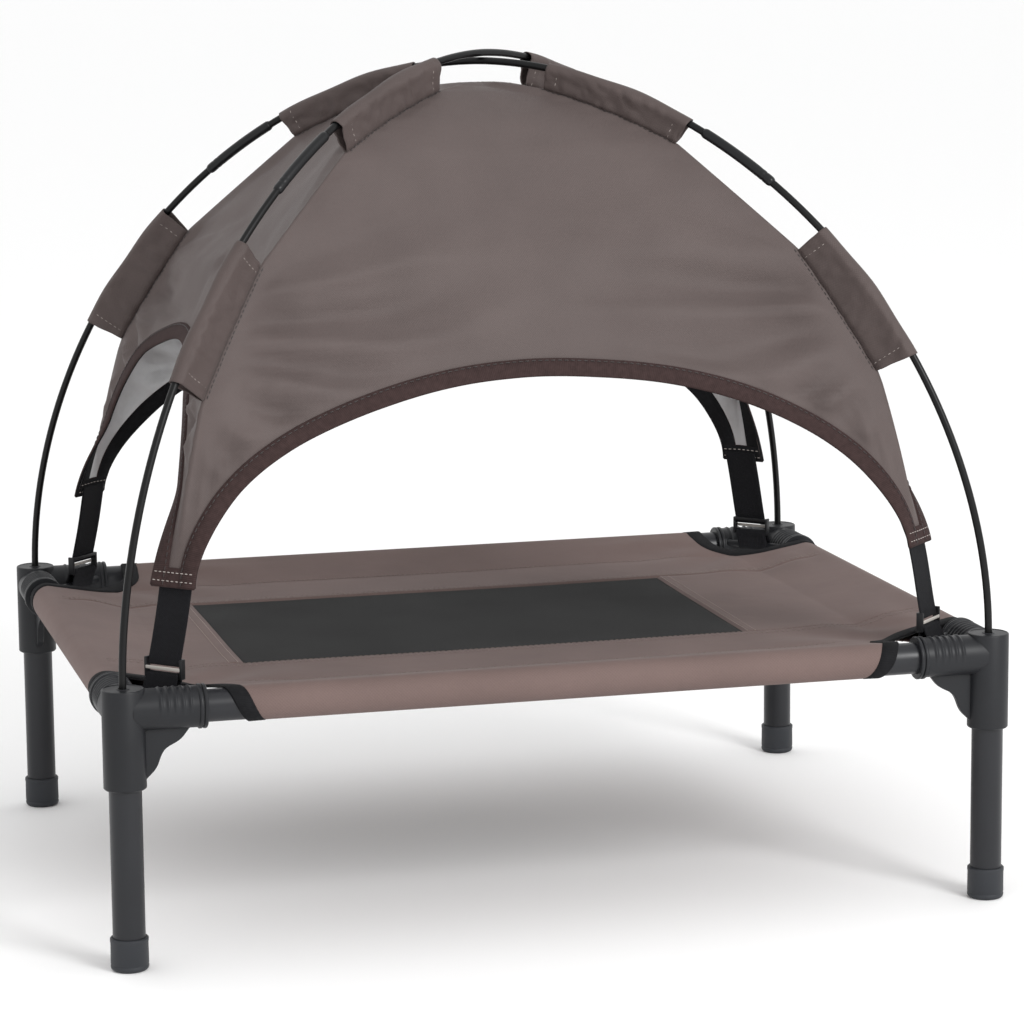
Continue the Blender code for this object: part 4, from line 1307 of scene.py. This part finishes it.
def make_net():
    bm = bmesh.new()
    uv = bm.loops.layers.uv.new("cloth")
    columns, rows = 90, 54
    overlap = 0.0004
    x0, x1 = MESH_LOW.x - overlap, MESH_HIGH.x + overlap
    edge = MESH_HALF_Y + overlap
    grid = []
    for i in range(columns + 1):
        x = x0 + (x1 - x0) * i / columns
        line = []
        for j in range(rows + 1):
            y = -edge + 2 * edge * j / rows
            place = sheet_point(x, y)
            place.z -= 0.0004
            line.append(bm.verts.new(place))
        grid.append(line)
    for i in range(columns):
        for j in range(rows):
            face = bm.faces.new((grid[i][j], grid[i + 1][j], grid[i + 1][j + 1], grid[i][j + 1]))
            for loop in face.loops:
                loop[uv].uv = loop.vert.co.xy
    net = finish_piece("mesh_net", bm, [NET], "bed", ["mesh_window"], outward=False)
    thicken(net, 0)


def surface_row(path):
    """Points on the sheet along a path of cloth coordinates, with their upward directions."""
    points, outs = [], []
    step = 0.0005
    for s, t in path:
        place = sheet_point(s, t)
        along_s = sheet_point(s + step, t) - sheet_point(s - step, t)
        along_t = sheet_point(s, t + step) - sheet_point(s, t - step)
        out = along_s.cross(along_t).normalized()
        points.append(place + out * (CLOTH / 2 + 0.0001))
        outs.append(out)
    return points, outs


def make_sheet_stitches():
    long_rows, side_rows = [], []
    seam_x, seam_y = POST_X - SEAM_REACH, POST_Y - SEAM_REACH
    side_reach = seam_x + SEAM_REACH * math.sin(LEAN) * 0.95
    steps = 120
    for way in (-1, 1):
        for offset in (0.0022, 0.0078):
            t = way * (MESH_HALF_Y + offset)
            path = [(-side_reach + 2 * side_reach * i / steps, t) for i in range(steps + 1)]
            long_rows.append(surface_row(path))
        t = way * (seam_y + 0.0016)
        reach = seam_x - 0.036
        long_rows.append(surface_row([(-reach + 2 * reach * i / steps, t) for i in range(steps + 1)]))
    for s, way in ((MESH_LOW.x, -1), (MESH_HIGH.x, 1)):
        for offset in (0.0022, 0.0080):
            x = s + way * offset
            reach = MESH_HALF_Y - 0.001
            side_rows.append(surface_row([(x, -reach + 2 * reach * i / steps) for i in range(steps + 1)]))
    sizes = {"length": 0.0026, "space": 0.0012, "radius": 0.0002}
    stitch_piece("sheet_stitches_long", long_rows, SEAM_THREAD, "bed", "sheet_cloth", **sizes)
    stitch_piece("sheet_stitches_side", side_rows, TAUPE_THREAD, "bed", "sheet_cloth", **sizes)


def notch_path(inset):
    """Places along the cut-out's edge at a corner with its post at the origin and the bed's middle
    towards +X and +Y: round one rail, along the arc on top, and round the other rail."""
    half_x, half_y = NOTCH_X - inset, NOTCH_Y - inset
    over_top = SEAM_REACH * math.sin(LEAN) + WRAP_R * (math.pi / 2 - LEAN)
    length = SEAM_REACH * math.sin(LEAN) + WRAP_R * (2 * (math.pi - LEAN) - 0.5)
    steps = 44
    wraps = []
    for post, across, along in ((POST_Y, half_y, half_x), (POST_X, half_x, half_y)):
        wrap = []
        for i in range(steps + 1):
            distance = length + (over_top - 0.010 - length) * i / steps
            reach, z = sleeve_line(distance, post)
            off = post - reach
            far = along * math.sqrt(1 - (off / across) ** 2) + notch_shift(distance)
            wrap.append((off, far, z))
        wraps.append(wrap)
    first = [Vector((far, off, z)) for off, far, z in wraps[0]]
    last = [Vector((off, far, z)) for off, far, z in reversed(wraps[1])]
    start, end = first[-1], last[0]
    start_angle = math.atan2(start.y / half_y, start.x / half_x)
    end_angle = math.atan2(end.y / half_y, end.x / half_x)
    start_size = math.hypot(start.x / half_x, start.y / half_y)
    end_size = math.hypot(end.x / half_x, end.y / half_y)
    arc_steps = 44
    arc = []
    for i in range(1, arc_steps):
        t = i / arc_steps
        angle = start_angle + (end_angle - start_angle) * t
        size = start_size + (1 - start_size) * smoothstep(0, 0.35, t) if t < 0.5 else (
            end_size + (1 - end_size) * smoothstep(0, 0.35, 1 - t))
        x, y = half_x * math.cos(angle) * size, half_y * math.sin(angle) * size
        s, t_cloth = cloth_reach(POST_X - x, POST_X), cloth_reach(POST_Y - y, POST_Y)
        arc.append(Vector((x, y, sheet_point(s, t_cloth).z)))
    return first + arc + last


def cloth_reach(reach, post):
    """Cloth coordinate of a point on the flat run at a reach from the bed's middle."""
    seam = post - SEAM_REACH
    if reach <= seam:
        return reach
    end = post + WRAP_R * math.cos(math.pi - LEAN)
    return seam + (reach - seam) / (end - seam) * SEAM_REACH * math.sin(LEAN)


def make_notch_tapes():
    inner = notch_path(0.0005 + TAPE)
    outer = notch_path(0.0005)
    frames = []
    for i, (a, b) in enumerate(zip(inner, outer)):
        ahead = (a + b) / 2
        ahead = (inner[min(i + 1, len(inner) - 1)] + outer[min(i + 1, len(outer) - 1)]) / 2 - ahead
        back = (a + b) / 2 - (inner[max(i - 1, 0)] + outer[max(i - 1, 0)]) / 2
        across = (b - a).normalized()
        out = (ahead + back).cross(across).normalized()
        frames.append([a, across, out, (b - a).length])
    for corner, (side_x, side_y) in CORNERS.items():
        turn = Matrix.Diagonal((-side_x, -side_y, 1))
        post = Vector((side_x * POST_X, side_y * POST_Y, 0))
        bm = bmesh.new()
        bm.loops.layers.uv.new("cloth")
        rings, lengths, last = [], [], None
        for i, (a, across, out, width) in enumerate(frames):
            profile = [
                (-0.0009, 0.0), (0.0, -0.0008), (width / 2, -0.0007), (width, -0.0006),
                (width + 0.0002, 0.0), (width, 0.0011), (width / 2, 0.0014), (0.0, 0.0013),
            ]
            lengths.append(0.0 if last is None else lengths[-1] + (a - last).length)
            last = a
            rings.append([bm.verts.new(post + turn @ (a + across * x + out * y)) for x, y in profile])
        skin(bm, rings, [j * 0.002 for j in range(9)], lengths)
        finish_piece(
            f"corner_tape_{corner}", bm, [BLACK_TAPE], "bed", [f"notch_tape_{corner}"],
        )


# ---- straps and tails ----------------------------------------------------------------------------------
def at_corner(corner, place):
    """A place or direction made at a corner with the bed's middle towards +X and +Y."""
    side_x, side_y = CORNERS[corner]
    return Matrix.Diagonal((-side_x, -side_y, 1)) @ place


def make_straps():
    bottom, top = (place.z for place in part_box("strap_front_left"))
    for corner, (side_x, side_y) in CORNERS.items():
        post = Vector((side_x * POST_X, side_y * POST_Y, 0))
        stations = []
        steps = 40
        for i in range(steps + 1):
            z = bottom + 0.0006 + (top - bottom - 0.0012) * i / steps
            depth, side = strap_line(z)
            depth += 0.0004 * math.sin((z - bottom) * 90 + side_x)
            place = Vector((BAR_REACH, BAR_REACH, z)) + INWARD * depth + SIDEWAYS * side
            stations.append((
                post + at_corner(corner, place), at_corner(corner, SIDEWAYS), at_corner(corner, INWARD),
            ))
        bm = bmesh.new()
        sweep(bm, stations, webbing_profile())
        finish_piece(f"strap_web_{corner}", bm, [WEB], "canopy", [f"strap_{corner}"])


def tail_line(corner, z, count):
    """Points across a canopy corner's flat tail at height z, with the outward direction."""
    side_x, side_y = CORNERS[corner]
    long_side = "front" if side_y < 0 else "back"
    short_side = "left" if side_x < 0 else "right"
    share = share_at(z)
    points = []
    for name, way in ((long_side, side_x), (short_side, side_y)):
        shape = SIDES[name]
        local = way * (FLIPS[name][0] if shape == "long" else FLIPS[name][1])
        edge = min(1.0, ARCHES[shape][0] / half_width(share, shape))
        line = []
        for i in range(count + 1):
            column = local * (edge + (1 - edge) * i / count)
            line.append(canopy_point(column, share, name, 0.0))
        points.append(line)
    return points[0] + points[1][-2::-1]


def make_tail_hems():
    hem_top = 0.0115
    rows = []
    for corner in CORNERS:
        low = tail_line(corner, RIDGE_END[1] + 0.0001, 8)
        high = tail_line(corner, RIDGE_END[1] + hem_top, 8)
        stations = []
        for (a, out_a), (b, out_b) in zip(low, high):
            across = (b - a).normalized()
            out = (out_a + out_b) / 2
            out = (out - across * out.dot(across)).normalized()
            stations.append((a - out * CLOTH / 2, across, out))
        bm = bmesh.new()
        profile = [
            (-0.0012, 0.0), (-0.0008, -0.0009), (0.0, -0.0013), (hem_top, -0.0012), (hem_top + 0.0003, 0.0),
            (hem_top, 0.0013), (0.0, 0.0014), (-0.0008, 0.0010),
        ]
        sweep(bm, stations, profile, lambda j: 1 if j < 3 else 0)
        finish_piece(f"tail_hem_{corner}", bm, [BROWN_TAPE, BLACK_TAPE], "canopy")
        for at in (0.0030, 0.0085):
            line = [place + across * at + out * 0.0015 for place, across, out in stations]
            rows.append((line, [out for _, _, out in stations]))
            line = [place + across * at - out * 0.0014 for place, across, out in stations]
            rows.append((line, [-out for _, _, out in stations]))
    stitch_piece("tail_stitches", rows, PALE_THREAD, "canopy", "brown_tape", length=0.0022, space=0.0012)


# ---- stage ----------------------------------------------------------------------------------------------
def make_camera():
    turn, down, roll = math.radians(14.825), math.radians(9.226), math.radians(-0.499)
    ahead = Vector((math.sin(turn) * math.cos(down), math.cos(turn) * math.cos(down), -math.sin(down)))
    right = ahead.cross(Vector((0, 0, 1))).normalized()
    up = right.cross(ahead)
    right, up = right * math.cos(roll) + up * math.sin(roll), up * math.cos(roll) - right * math.sin(roll)
    data = bpy.data.cameras.new("camera")
    data.sensor_width = 36.0
    data.lens = 125.49
    data.shift_x, data.shift_y = -0.0122, -0.0400
    camera = bpy.data.objects.new("camera", data)
    bpy.context.scene.collection.objects.link(camera)
    camera.matrix_world = Matrix.Translation((-0.6062, -2.3982, 0.6740)) @ Matrix((
        (right.x, up.x, -ahead.x, 0), (right.y, up.y, -ahead.y, 0), (right.z, up.z, -ahead.z, 0),
        (0, 0, 0, 1),
    ))
    bpy.context.scene.camera = camera


def add_area(name, place, size, power, target=(0, 0, 0.3)):
    data = bpy.data.lights.new(name, "AREA")
    data.shape = "RECTANGLE"
    data.size, data.size_y = size
    data.energy = power
    light = bpy.data.objects.new(name, data)
    bpy.context.scene.collection.objects.link(light)
    light.location = place
    light.rotation_mode = "QUATERNION"
    light.rotation_quaternion = (Vector(target) - Vector(place)).to_track_quat("-Z", "Y")


def make_stage():
    bm = bmesh.new()
    bmesh.ops.create_grid(bm, x_segments=1, y_segments=1, size=60.0)
    mesh = bpy.data.meshes.new("floor")
    bm.to_mesh(mesh)
    bm.free()
    floor = bpy.data.objects.new("floor", mesh)
    bpy.context.scene.collection.objects.link(floor)
    floor.data.materials.append(floor_material())
    world = bpy.data.worlds.new("studio")
    world.use_nodes = True
    background = world.node_tree.nodes["Background"]
    background.inputs["Color"].default_value = (1.0, 1.0, 1.0, 1.0)
    background.inputs["Strength"].default_value = 1.0
    bpy.context.scene.world = world
    add_area("key", (1.25, -2.5, 1.8), (1.0, 1.0), 52)
    bpy.context.scene.view_settings.view_transform = "Standard"


def main():
    make_camera()
    make_stage()
    make_fittings()
    make_legs()
    make_rails()
    make_buckles()
    make_loops()
    make_poles()
    canopy = make_canopy_cloth()
    make_ridge_stitches()
    make_arch_bindings()
    rows = []
    for corner in CORNERS:
        for level in SLEEVE_SPANS:
            rows += make_sleeve(corner, level)
    sizes = {"length": 0.0024, "space": 0.0014, "radius": 0.0002}
    stitch_piece("sleeve_stitches", rows, PALE_THREAD, "canopy", "sleeve_cloth", **sizes)
    make_straps()
    make_tail_hems()
    canopy_cut()
    sheet, width, depth = make_sheet()
    make_net()
    make_sheet_stitches()
    make_notch_tapes()


main()
